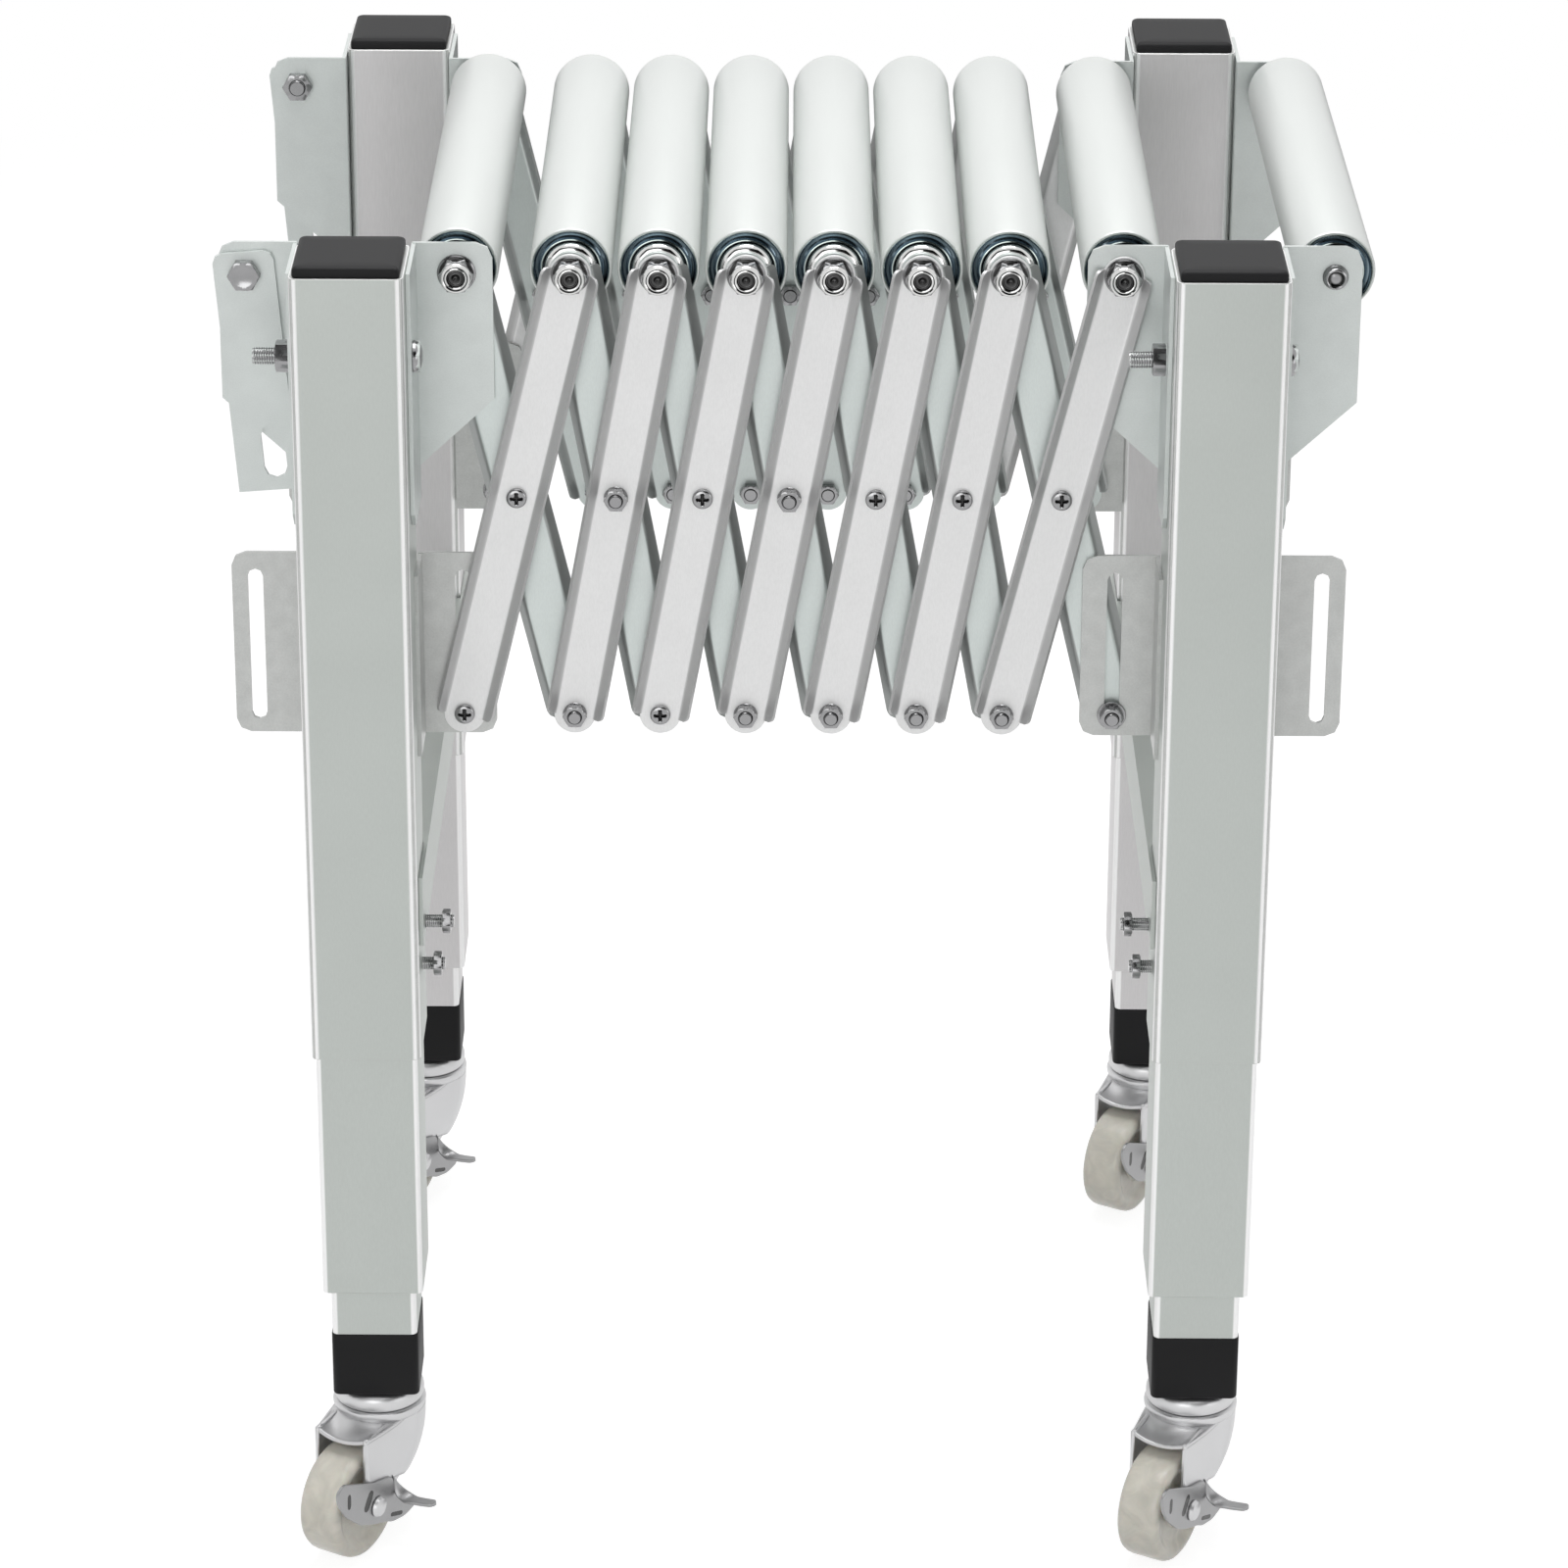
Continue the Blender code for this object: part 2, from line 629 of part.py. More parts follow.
def bracket_outline(face, way):
    """The plate of an upper bracket: straight edge, round top corner and a diagonal below."""
    edge = face + way * BRACKET_REACH
    top = POST_TOP - BRACKET_TOP_DROP
    corner = (edge - way * BRACKET_CORNER, top - BRACKET_CORNER)
    start, end = (0, math.pi / 2) if way > 0 else (math.pi, math.pi / 2)
    points = arc(corner, BRACKET_CORNER, start, end, TAB_STEPS // 2)
    points.append((face, top))
    points.append((face, GUIDE_TOP + BRACKET_TAPER_ABOVE_GUIDE))
    points.append((edge, GUIDE_TOP + BRACKET_EDGE_ABOVE_GUIDE))
    return points


def bracket_flange(face, way, side):
    """The flange of an upper bracket, flat against the post, with a cut lower corner."""
    top = POST_TOP - BRACKET_TOP_DROP - BITE
    bottom = GUIDE_TOP + BRACKET_FLANGE_ABOVE_GUIDE
    back = inward(side, PLATE_BACK - BITE)
    front = inward(side, -BRACKET_FLANGE_WIDTH)
    chamfer = side * BRACKET_CORNER
    outline = [
        (back, top),
        (front, top),
        (front, bottom + BRACKET_CORNER),
        (front - chamfer, bottom),
        (back, bottom),
    ]
    return prism(outline, "X", face, face + way * SHEET)


def bracket_set(end, side):
    """The inner and outer brackets of one post with the bolt through it that clamps them."""
    height = POST_TOP - THROUGH_BOLT_DROP
    across = side * POST_Y
    pieces = []
    for way in (-1, 1):
        face = end * POST_X + way * (POST_HALF + GAP)
        plate_ends = (inward(side, PLATE_DEPTH), inward(side, PLATE_BACK))
        plate = prism(bracket_outline(face + way * BITE, way), "Y", *plate_ends)
        pieces.append(fuse([plate, bracket_flange(face, way, side)]))
    right = end * POST_X + POST_HALF + GAP + SHEET
    left = end * POST_X - POST_HALF - GAP - SHEET
    stud_end = left - THROUGH_NUT_HEIGHT - THROUGH_BOLT_STUD
    centre = (across, height)
    pieces.append(rod("X", centre, THROUGH_BOLT_RADIUS, stud_end, right + BITE))
    pieces.append(rod("X", centre, THROUGH_BOLT_HEAD_RADIUS, right - BITE, right + THROUGH_BOLT_HEAD_HEIGHT))
    pieces.append(nut("X", centre, THROUGH_NUT_HALF, left - THROUGH_NUT_HEIGHT, left + BITE))
    return pieces


def left_bracket(side_name, parent):
    """A left bracket set, with the hole for the first axle and the bolt that carries a link."""
    side = SIDES[side_name]
    tools = []
    low = inward(side, PLATE_DEPTH - CUT_OVERRUN)
    high = inward(side, PLATE_BACK + CUT_OVERRUN)
    centre = (pivot_x(1), TOP_PIVOT_Z)
    tools.append(bore("Y", centre, AXLE_RADIUS + GAP, low, high, AXLE_SIDES))
    solid = cut(fuse(bracket_set(-1, side)), tools)
    hook = (-HOOK_X, TOP_PIVOT_Z)
    head_seat = PLATE_DEPTH - GAP - LINK_SHEET - GAP
    inner_end = PLATE_BACK + LINK_BOLT_HEAD_HEIGHT
    shank = rod("Y", hook, LINK_BOLT_RADIUS, inward(side, head_seat - BITE), inward(side, inner_end), AXLE_SIDES)
    head_ends = (inward(side, head_seat), inward(side, head_seat - LINK_BOLT_HEAD_HEIGHT))
    head = nut("Y", hook, LINK_BOLT_HEAD_HALF, *head_ends)
    back_ends = (inward(side, PLATE_BACK - BITE), inward(side, inner_end - BITE))
    back = nut("Y", hook, LINK_BOLT_HEAD_HALF, *back_ends)
    return finish(f"{side_name}_left_bracket", fuse([solid, shank, head, back]), "galvanised", parent=parent)


def right_brackets(parent):
    """Both right bracket sets, joined by the fixed axle of the last roller."""
    hook = (HOOK_X, TOP_PIVOT_Z)
    end = INNER_FACE - PLATE_DEPTH + WASHER_HEIGHT + GAP
    pieces = [rod("Y", hook, AXLE_RADIUS, -end, end, AXLE_SIDES)]
    tools = []
    for side in SIDES.values():
        pieces += bracket_set(1, side)
        spacer_ends = (inward(side, PLATE_BACK - BITE), inward(side, HUB_DEPTH - GAP))
        pieces.append(rod("Y", hook, SPACER_RADIUS, *spacer_ends, AXLE_SIDES))
        low = inward(side, PLATE_DEPTH - CUT_OVERRUN)
        high = inward(side, PLATE_BACK + CUT_OVERRUN)
        centre = (pivot_x(CELL_COUNT + 1), TOP_PIVOT_Z)
        tools.append(bore("Y", centre, AXLE_RADIUS + GAP, low, high, AXLE_SIDES))
    return finish("right_bracket_pair", cut(fuse(pieces), tools), "galvanised", parent=parent)


def guide_plate(end, side, way):
    """A slotted plate beside a post, on a flange that is welded to the post."""
    face = end * POST_X + way * POST_HALF
    edge = face + way * GUIDE_REACH
    top, bottom = GUIDE_TOP, GUIDE_BOTTOM
    corner_a = edge - way * GUIDE_CORNER
    quarter = math.pi / 2
    upper_start, lower_end = (0, 0) if way > 0 else (math.pi, math.pi)
    lower_start = -quarter if way > 0 else 3 * quarter
    outline = [(face, bottom)]
    outline += arc((corner_a, bottom + GUIDE_CORNER), GUIDE_CORNER, lower_start, lower_end, TAB_STEPS // 2)
    outline += arc((corner_a, top - GUIDE_CORNER), GUIDE_CORNER, upper_start, quarter, TAB_STEPS // 2)
    outline.append((face, top))
    plate = prism(outline, "Y", inward(side, PLATE_DEPTH), inward(side, PLATE_BACK))
    inner = way == -end
    slot_x = end * (POST_X - POST_HALF - PIVOT_REACH) if inner else end * HOOK_X
    slot = upright_slot(slot_x, SLOT_LOW_Z, SLOT_HIGH_Z, SLOT_HALF_WIDTH, SLOT_STEPS)
    low = inward(side, PLATE_DEPTH - CUT_OVERRUN)
    high = inward(side, PLATE_BACK + CUT_OVERRUN)
    plate = cut(plate, [prism(slot, "Y", low, high)])
    front = inward(side, -GUIDE_FLANGE_WIDTH)
    back = inward(side, PLATE_BACK - BITE)
    flange_outline = rectangle(min(front, back), max(front, back), bottom + BITE, top - BITE)
    flange = prism(flange_outline, "X", face - way * BITE, face + way * SHEET)
    return [plate, flange]


def lock_studs(end, side):
    """The studs with nuts on a post's inner side, above its lower end."""
    face = end * (POST_X - POST_HALF)
    lengths = (LOCK_STUD_LENGTH, LOCK_SHORT_STUD_LENGTH)
    pieces = []
    for index, length in enumerate(lengths):
        centre = (side * POST_Y, LOCK_STUD_Z - index * LOCK_STUD_SPACING)
        tip = face - end * length
        pieces.append(rod("X", centre, LOCK_STUD_RADIUS, face + end * POST_WALL / 2, tip))
        pieces.append(nut("X", centre, LOCK_NUT_HALF, tip + end * LOCK_NUT_HEIGHT, tip + end * PIN_STUD))
    return pieces


def post(end_name, side_name, parent):
    """A square post with its cap, its guide plates and its lock studs."""
    end, side = ENDS[end_name], SIDES[side_name]
    offset = (end * POST_X, side * POST_Y, 0)
    tube = moved(hollow_tube(POST_SIDE, POST_WALL, POST_BOTTOM, POST_TOP, POST_CORNER), offset)
    bolt = (side * POST_Y, POST_TOP - THROUGH_BOLT_DROP)
    span = POST_HALF + CUT_OVERRUN
    hole_ends = (end * POST_X - span, end * POST_X + span)
    tube = cut(tube, [bore("X", bolt, THROUGH_BOLT_RADIUS + GAP, *hole_ends)])
    plug_half = POST_HALF - POST_WALL / 2
    plug = prism(rectangle(-plug_half, plug_half, -plug_half, plug_half), "Z", POST_TOP - CAP_DEPTH, POST_TOP - BITE)
    cap_half = CAP_SIDE / 2
    top_half = cap_half - CAP_BEVEL
    shoulder = POST_TOP + CAP_RISE - CAP_BEVEL
    cap = prism(rectangle(-cap_half, cap_half, -cap_half, cap_half), "Z", POST_TOP - CAP_DEPTH + BITE, shoulder)
    crown = tapered_block(cap_half, shoulder, top_half, POST_TOP + CAP_RISE)
    pieces = [tube]
    pieces += [moved(piece, offset) for piece in (plug, cap, crown)]
    for way in (-1, 1):
        pieces += guide_plate(end, side, way)
    pieces += lock_studs(end, side)
    return finish(f"{side_name}_{end_name}_post", fuse(pieces), "galvanised", parent=parent)


def tapered_block(low_half, low, high_half, high):
    """A square block that narrows upwards from one half width to another."""
    builder = bmesh.new()
    signs = ((-1, -1), (1, -1), (1, 1), (-1, 1))
    bottom = [builder.verts.new((a * low_half, b * low_half, low)) for a, b in signs]
    top = [builder.verts.new((a * high_half, b * high_half, high)) for a, b in signs]
    builder.faces.new(bottom)
    builder.faces.new(list(reversed(top)))
    for i in range(len(signs)):
        j = (i + 1) % len(signs)
        builder.faces.new((bottom[i], bottom[j], top[j], top[i]))
    return solid_from(builder)


def cross_rail(end_name, parent):
    """The angle that ties the near and far posts of one end, below the scissors."""
    end = ENDS[end_name]
    face = end * (POST_X - POST_HALF - GAP)
    bottom, top = RAIL_BOTTOM, RAIL_BOTTOM + RAIL_HEIGHT
    reach = POST_Y + POST_HALF - RAIL_END_INSET
    web = prism(rectangle(-reach, reach, bottom, top), "X", face, face - end * SHEET)
    inside = INNER_FACE - GAP
    flange_outer = face + end * RAIL_FLANGE
    low_x, high_x = sorted((face - end * BITE, flange_outer))
    flange = prism(rectangle(low_x, high_x, -inside, inside), "Z", top - SHEET, top - BITE)
    holes = []
    for side in SIDES.values():
        centre = (side * POST_Y, LOCK_STUD_Z)
        ends = sorted((face + end * CUT_OVERRUN, face - end * (SHEET + CUT_OVERRUN)))
        holes.append(bore("X", centre, LOCK_STUD_RADIUS + GAP, *ends))
    return finish(f"{end_name}_cross_rail", cut(fuse([web, flange]), holes), "galvanised", parent=parent)


def coupling_link(side_name, parent):
    """The hanging plate with a slot that hooks on the last axle of another conveyor."""
    side = SIDES[side_name]
    corner = LINK_CORNER
    half = LINK_HALF_WIDTH
    outline = [(-half, -LINK_BELOW_PIVOT), (half, -LINK_BELOW_PIVOT)]
    outline += arc((half - corner, LINK_ABOVE_PIVOT - corner), corner, 0, math.pi / 2, TAB_STEPS // 2)
    left_centre = (-half + corner, LINK_ABOVE_PIVOT - corner)
    outline += arc(left_centre, corner, math.pi / 2, math.pi, TAB_STEPS // 2)
    back = PLATE_DEPTH - GAP
    front = back - LINK_SHEET
    plate = prism(outline, "Y", inward(side, front), inward(side, back))
    run = LINK_SLOT_LENGTH / 2 - LINK_SLOT_HALF_WIDTH
    slot = upright_slot(
        LINK_SLOT_OFFSET, -LINK_SLOT_DROP - run, -LINK_SLOT_DROP + run, LINK_SLOT_HALF_WIDTH, SLOT_STEPS
    )
    low, high = inward(side, front - CUT_OVERRUN), inward(side, back + CUT_OVERRUN)
    tools = [prism(slot, "Y", low, high)]
    tools.append(bore("Y", (0, 0), LINK_BOLT_RADIUS + GAP, low, high, AXLE_SIDES))
    lean = -math.radians(LINK_LEAN_DEGREES)
    origin = (-HOOK_X, 0, TOP_PIVOT_Z)
    return finish(f"{side_name}_coupling_link", cut(plate, tools), "galvanised", origin, lean, parent)


def mid_tube(end_name, side_name, parent):
    """The first sliding tube, which runs inside the post."""
    end, side = ENDS[end_name], SIDES[side_name]
    bottom = POST_BOTTOM - MID_EXPOSED
    tube = hollow_tube(MID_SIDE, MID_WALL, bottom, bottom + MID_LENGTH, POST_CORNER - POST_WALL / 2)
    tube = moved(tube, (0, 0, -bottom))
    origin = (end * POST_X, side * POST_Y, bottom)
    return finish(f"{side_name}_{end_name}_mid_tube", tube, "galvanised", origin, 0.0, parent)


def foot_tube(end_name, side_name, parent):
    """The second sliding tube with its guide collar, its plastic foot and the caster's king pin."""
    end, side = ENDS[end_name], SIDES[side_name]
    low = FOOT_BOTTOM + FOOT_HEIGHT - CAP_DEPTH
    high = FOOT_BOTTOM + INNER_LENGTH
    tube = hollow_tube(INNER_SIDE, INNER_WALL, low, high, POST_CORNER)
    collar_side = MID_SIDE - 2 * MID_WALL - 2 * TUBE_CLEARANCE
    collar_wall = (collar_side - INNER_SIDE) / 2 + INNER_WALL / 2
    collar = hollow_tube(collar_side, collar_wall, high - INNER_COLLAR_HEIGHT, high - BITE, POST_CORNER)
    foot = prism(rounded_square(INNER_SIDE / 2 + BITE, POST_CORNER), "Z", FOOT_BOTTOM, FOOT_BOTTOM + FOOT_HEIGHT)
    race_bottom = FOOT_BOTTOM - RACE_HEIGHT
    crown_bottom = race_bottom - GAP - CROWN_SHEET
    head_top = crown_bottom - GAP
    pin = rod("Z", (0, 0), KINGPIN_RADIUS, head_top - BITE, FOOT_BOTTOM + BITE, AXLE_SIDES)
    head = rod("Z", (0, 0), KINGPIN_HEAD_RADIUS, head_top - KINGPIN_HEAD_HEIGHT, head_top, AXLE_SIDES)
    race = rod("Z", (0, 0), RACE_RADIUS - CAP_BEVEL, race_bottom, FOOT_BOTTOM + BITE, ROUND_SIDES)
    solid = moved(fuse([tube, collar, foot, race, pin, head]), (0, 0, -FOOT_BOTTOM))
    origin = (end * POST_X, side * POST_Y, FOOT_BOTTOM)
    return finish(f"{side_name}_{end_name}_foot_tube", solid, "galvanised", origin, 0.0, parent)


def fork_cheek_outline():
    """One cheek of the fork in (trail, height): wide under the crown and narrow at the axle."""
    top = -RACE_HEIGHT - GAP
    front = CASTER_TRAIL + FORK_FRONT_LEAD
    axle_point = (CASTER_TRAIL, -CASTER_DROP)
    boss = arc(axle_point, FORK_BOSS, -FULL_TURN / 3, 0, TAB_STEPS // 2)
    points = [(-FORK_REAR, top - CROWN_SHEET)]
    points.append((-FORK_REAR, top - FORK_REAR_FALL))
    points.append((-FORK_REAR / 2, top - 1.4 * FORK_REAR_FALL))
    points += boss
    points.append((front, -CROWN_DROP - CROWN_SHEET))
    points.append((CROWN_RADIUS - FORK_SHEET, top - CROWN_SHEET))
    return points


def caster_turn():
    """The rotation that points a caster's trail towards the near side, turned to the left."""
    return Matrix.Rotation(-math.pi / 2 - math.radians(CASTER_TURN_DEGREES), 4, "Z")


def fork(end_name, side_name, parent):
    """The pressed caster fork: a round crown, a sloping front, two cheeks and the riveted axle."""
    top = -RACE_HEIGHT - GAP
    crown = rod("Z", (0, 0), CROWN_RADIUS, top - CROWN_SHEET, top, ROUND_SIDES)
    front = CASTER_TRAIL + FORK_FRONT_LEAD
    lip = -CROWN_DROP
    inner = FORK_HALF_WIDTH - FORK_SHEET
    slope = [(0, top - BITE), (CROWN_RADIUS / 2, top - BITE), (front - BITE, lip)]
    slope += [(front - BITE, lip - FORK_SHEET), (CROWN_RADIUS / 2, top - CROWN_SHEET + BITE)]
    slope.append((0, top - CROWN_SHEET + BITE))
    pieces = [crown, prism(slope, "Y", -FORK_HALF_WIDTH + BITE, FORK_HALF_WIDTH - BITE)]
    for hand in (-1, 1):
        pieces.append(prism(fork_cheek_outline(), "Y", hand * inner, hand * FORK_HALF_WIDTH))
    centre = (CASTER_TRAIL, -CASTER_DROP)
    head_seat = FORK_HALF_WIDTH + GAP + BRAKE_SHEET + GAP
    axle_bar = rod("Y", centre, CASTER_AXLE_RADIUS, -FORK_HALF_WIDTH - RIVET_HEIGHT, head_seat + BITE, AXLE_SIDES)
    pieces.append(axle_bar)
    pieces.append(rod("Y", centre, RIVET_RADIUS, head_seat, head_seat + RIVET_HEIGHT, AXLE_SIDES))
    tail = -FORK_HALF_WIDTH
    pieces.append(rod("Y", centre, RIVET_RADIUS, tail + BITE, tail - RIVET_HEIGHT + BITE, AXLE_SIDES))
    hole = bore("Z", (0, 0), KINGPIN_RADIUS + GAP, top - CROWN_SHEET - CUT_OVERRUN, top + CUT_OVERRUN, AXLE_SIDES)
    solid = cut(fuse(pieces), [hole])
    solid.data.transform(caster_turn())
    origin = (ENDS[end_name] * POST_X, SIDES[side_name] * POST_Y, FOOT_BOTTOM)
    return finish(f"{side_name}_{end_name}_caster_fork", solid, "bright_steel", origin, 0.0, parent)


def axle_origin(end_name, side_name):
    """The middle of a caster's axle."""
    offset = caster_turn() @ Vector((CASTER_TRAIL, 0, -CASTER_DROP))
    return Vector((ENDS[end_name] * POST_X, SIDES[side_name] * POST_Y, FOOT_BOTTOM)) + offset


def wheel(end_name, side_name, parent):
    """A moulded wheel with a flat tread, rounded shoulders and dished sides."""
    hole = CASTER_AXLE_RADIUS + GAP
    half = [
        (hole, WHEEL_HALF_WIDTH),
        (WHEEL_HUB_RADIUS, WHEEL_HALF_WIDTH),
        (WHEEL_HUB_RADIUS + WHEEL_DISH / 2, WHEEL_HALF_WIDTH - WHEEL_DISH),
        (WHEEL_DISH_RADIUS, WHEEL_HALF_WIDTH - WHEEL_DISH),
        (WHEEL_RADIUS - WHEEL_SHOULDER, WHEEL_HALF_WIDTH),
        (WHEEL_RADIUS, WHEEL_TREAD_HALF),
    ]
    other = [(radius, -height) for radius, height in reversed(half)]
    solid = ring(half + other, WHEEL_SIDES)
    solid.data.transform(caster_turn())
    origin = axle_origin(end_name, side_name)
    return finish(f"{side_name}_{end_name}_caster_wheel", solid, "nylon", origin, 0.0, parent)


def brake_lever(end_name, side_name, parent):
    """The pressed brake lever on the fork's cheek, with a foot pedal that stands out to the side."""
    low = FORK_HALF_WIDTH + GAP
    high = low + BRAKE_SHEET
    outline = [
        (-BRAKE_REAR, BRAKE_UP / 2),
        (-BRAKE_REAR + FORK_BOSS, -BRAKE_DOWN / 2),
        (-FORK_BOSS, -BRAKE_DOWN),
        (FORK_BOSS, -BRAKE_DOWN),
        (BRAKE_FRONT, -BRAKE_DOWN / 2),
        (BRAKE_FRONT, BRAKE_UP / 2),
        (BRAKE_FRONT - FORK_BOSS, BRAKE_UP),
        (0, BRAKE_UP / 2),
    ]
    plate = prism(outline, "Y", low, high)
    pedal_top = BRAKE_UP / 2
    pedal = [
        (low + BITE, pedal_top),
        (low + BITE, pedal_top - BRAKE_SHEET),
        (high + PEDAL_LENGTH, pedal_top - BRAKE_SHEET - PEDAL_FALL),
        (high + PEDAL_LENGTH, pedal_top - PEDAL_FALL),
    ]
    rear = -BRAKE_REAR + BITE
    pedal_solid = prism(pedal, "X", rear, rear + PEDAL_WIDTH)
    hole = bore("Y", (0, 0), CASTER_AXLE_RADIUS + GAP, low - CUT_OVERRUN, high + CUT_OVERRUN, AXLE_SIDES)
    solid = cut(fuse([plate, pedal_solid]), [hole])
    solid.data.transform(caster_turn())
    origin = axle_origin(end_name, side_name)
    return finish(f"{side_name}_{end_name}_brake_lever", solid, "brake", origin, 0.0, parent)


def centre_on_floor(root):
    """Puts the middle of the part's outline, seen from above, over the origin."""
    bpy.context.view_layer.update()
    lows, highs = [], []
    for obj in bpy.context.scene.collection.objects:
        if obj.type != "MESH":
            continue
        corners = [obj.matrix_world @ vertex.co for vertex in obj.data.vertices]
        lows.append([min(corner[axis] for corner in corners) for axis in range(2)])
        highs.append([max(corner[axis] for corner in corners) for axis in range(2)])
    for axis in range(2):
        middle = (min(low[axis] for low in lows) + max(high[axis] for high in highs)) / 2
        root.location[axis] = -middle


def main():
    clear_scene()
    root = bpy.data.objects.new("conveyor", None)
    bpy.context.scene.collection.objects.link(root)
    for cell in range(1, CELL_COUNT + 1):
        front_arm_pair(cell, root)
    first_back_arm_pair(root)
    for cell in range(2, CELL_COUNT + 1):
        for side_name, side in SIDES.items():
            back_arm(cell, side, side_name, root)
    for index in range(1, ROLLER_COUNT + 1):
        roller(index, root)
    right_brackets(root)
    for side_name in SIDES:
        left_bracket(side_name, root)
        coupling_link(side_name, root)
    for end_name in ENDS:
        cross_rail(end_name, root)
        for side_name in SIDES:
            post(end_name, side_name, root)
            mid_tube(end_name, side_name, root)
            foot_tube(end_name, side_name, root)
            fork(end_name, side_name, root)
            wheel(end_name, side_name, root)
            brake_lever(end_name, side_name, root)
    centre_on_floor(root)


main()
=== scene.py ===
"""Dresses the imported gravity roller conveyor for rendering: zinc plated rollers and arms, galvanised posts,
black plastic caps and feet, braked casters with nylon wheels, and a plain pale studio.

Numbers in the tables of profiles and outlines are millimetres."""

import json
import math

import bmesh
import bpy
import numpy as np
from bpy.props import FloatProperty, FloatVectorProperty, IntProperty, PointerProperty
from bpy.types import Operator, Panel, PropertyGroup
from mathutils import Matrix, Vector


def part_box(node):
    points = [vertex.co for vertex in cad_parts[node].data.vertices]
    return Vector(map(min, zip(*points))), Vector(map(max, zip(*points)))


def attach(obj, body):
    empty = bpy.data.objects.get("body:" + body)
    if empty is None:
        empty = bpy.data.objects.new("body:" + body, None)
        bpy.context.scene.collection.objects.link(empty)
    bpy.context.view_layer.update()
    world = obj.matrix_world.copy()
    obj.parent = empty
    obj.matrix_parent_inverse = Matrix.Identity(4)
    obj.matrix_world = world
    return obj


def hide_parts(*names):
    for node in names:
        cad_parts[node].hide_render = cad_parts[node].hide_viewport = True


bl_info = {
    "name": "Gravity roller conveyor",
    "version": (1, 0, 0),
    "blender": (4, 5, 0),
    "location": "3D View > Sidebar > Conveyor",
    "description": "Dresses an expanding gravity roller conveyor with its rollers, arms, posts and casters",
    "category": "Object",
}

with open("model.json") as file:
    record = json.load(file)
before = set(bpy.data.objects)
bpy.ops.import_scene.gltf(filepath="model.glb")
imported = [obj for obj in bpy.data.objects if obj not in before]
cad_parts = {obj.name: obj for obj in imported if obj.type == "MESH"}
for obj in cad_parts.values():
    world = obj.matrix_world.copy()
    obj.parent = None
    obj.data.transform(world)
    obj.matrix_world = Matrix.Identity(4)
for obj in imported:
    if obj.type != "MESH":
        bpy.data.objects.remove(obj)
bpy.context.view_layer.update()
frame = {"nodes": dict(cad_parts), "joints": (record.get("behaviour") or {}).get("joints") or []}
JOINTS = {joint["name"]: joint for joint in frame["joints"]}
NODES = frame["nodes"]

MM = 0.001
TURN = 2 * math.pi
SIDES = {"near": -1, "far": 1}
ENDS = {"left": -1, "right": 1}
CORNERS = [(side, end) for side in SIDES for end in ENDS]
CELLS = 7
ROLLERS = 9


def joint_point(name):
    """Where a joint's axis is, in the row frame."""
    return np.array(JOINTS[name]["pos_m"], float)


def box_middle(node):
    """The middle of a CAD node's box."""
    low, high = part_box(node)
    return (np.array(low) + np.array(high)) / 2


TOP_PIVOTS = [joint_point("scissor_open")]
TOP_PIVOTS += [joint_point(f"back_arms_{cell}_pivot") for cell in range(2, CELLS + 1)]
TOP_PIVOTS.append(joint_point("right_frame_pivot"))
MID_PIVOTS = [joint_point(f"front_arms_{cell}_pivot") for cell in range(1, CELLS + 1)]
ROLLER_AXES = [joint_point(f"roller_{index}_spin") for index in range(1, ROLLERS + 1)]
LINK_AXIS = joint_point("near_link_hinge")
TRACK_Y = float(TOP_PIVOTS[0][1])
POST_HALF = 34 * MM
CAP_RISE = 6.2 * MM
POST_X = {end: float(box_middle(f"near_{end}_mid_tube")[0]) for end in ENDS}
POST_Y = {side: float(box_middle(f"{side}_left_mid_tube")[1]) for side in SIDES}
INNER_FACE = (POST_Y["far"] - POST_Y["near"]) / 2 - POST_HALF
POST_TOP = float(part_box("near_left_post")[1][2]) - CAP_RISE
POST_BOTTOM = float(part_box("near_left_post")[0][2])
MID_BOTTOM = float(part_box("near_left_mid_tube")[0][2])
MID_TOP = float(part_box("near_left_mid_tube")[1][2])
FOOT_BOTTOM = float(joint_point("near_left_swivel")[2])
FOOT_TOP = float(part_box("near_left_foot_tube")[1][2])
CASTER_DROP = FOOT_BOTTOM - float(joint_point("near_left_wheel_spin")[2])
TRAIL = (joint_point("near_left_wheel_spin") - joint_point("near_left_swivel"))[:2]
CASTER_TRAIL = float(np.hypot(*TRAIL))
TRAIL_WAY = np.array([*(TRAIL / CASTER_TRAIL), 0.0])
LATERAL = np.array([*JOINTS["near_left_wheel_spin"]["axis"]], float)
RIGHT = np.array([1.0, 0, 0])
UP = np.array([0.0, 0.0, 1.0])


def beside(side, point, depth):
    """A point moved to one side of the track, to a depth in millimetres from the posts' inner face inwards."""
    return np.array([point[0], TRACK_Y + SIDES[side] * (INNER_FACE - depth * MM), point[2]])


def outward(side):
    """The unit vector that points out of the track on one side."""
    return np.array([0.0, SIDES[side], 0.0])


def linear(code):
    """An sRGB hex code as linear red, green and blue."""
    values = np.array([int(code[i : i + 2], 16) for i in (1, 3, 5)]) / 255
    return np.where(values <= 0.04045, values / 12.92, ((values + 0.055) / 1.055) ** 2.4).tolist()


def opaque(colour, factor=1.0):
    """A linear colour times a factor, no brighter than white, with its alpha."""
    return [min(1.0, c * factor) for c in colour] + [1.0]


# Sizes and colours that a user may change


def colour(name, description, code):
    """A colour property whose default is an sRGB hex code."""
    return FloatVectorProperty(
        name=name, description=description, subtype="COLOR", size=3, min=0, max=1, default=linear(code)
    )


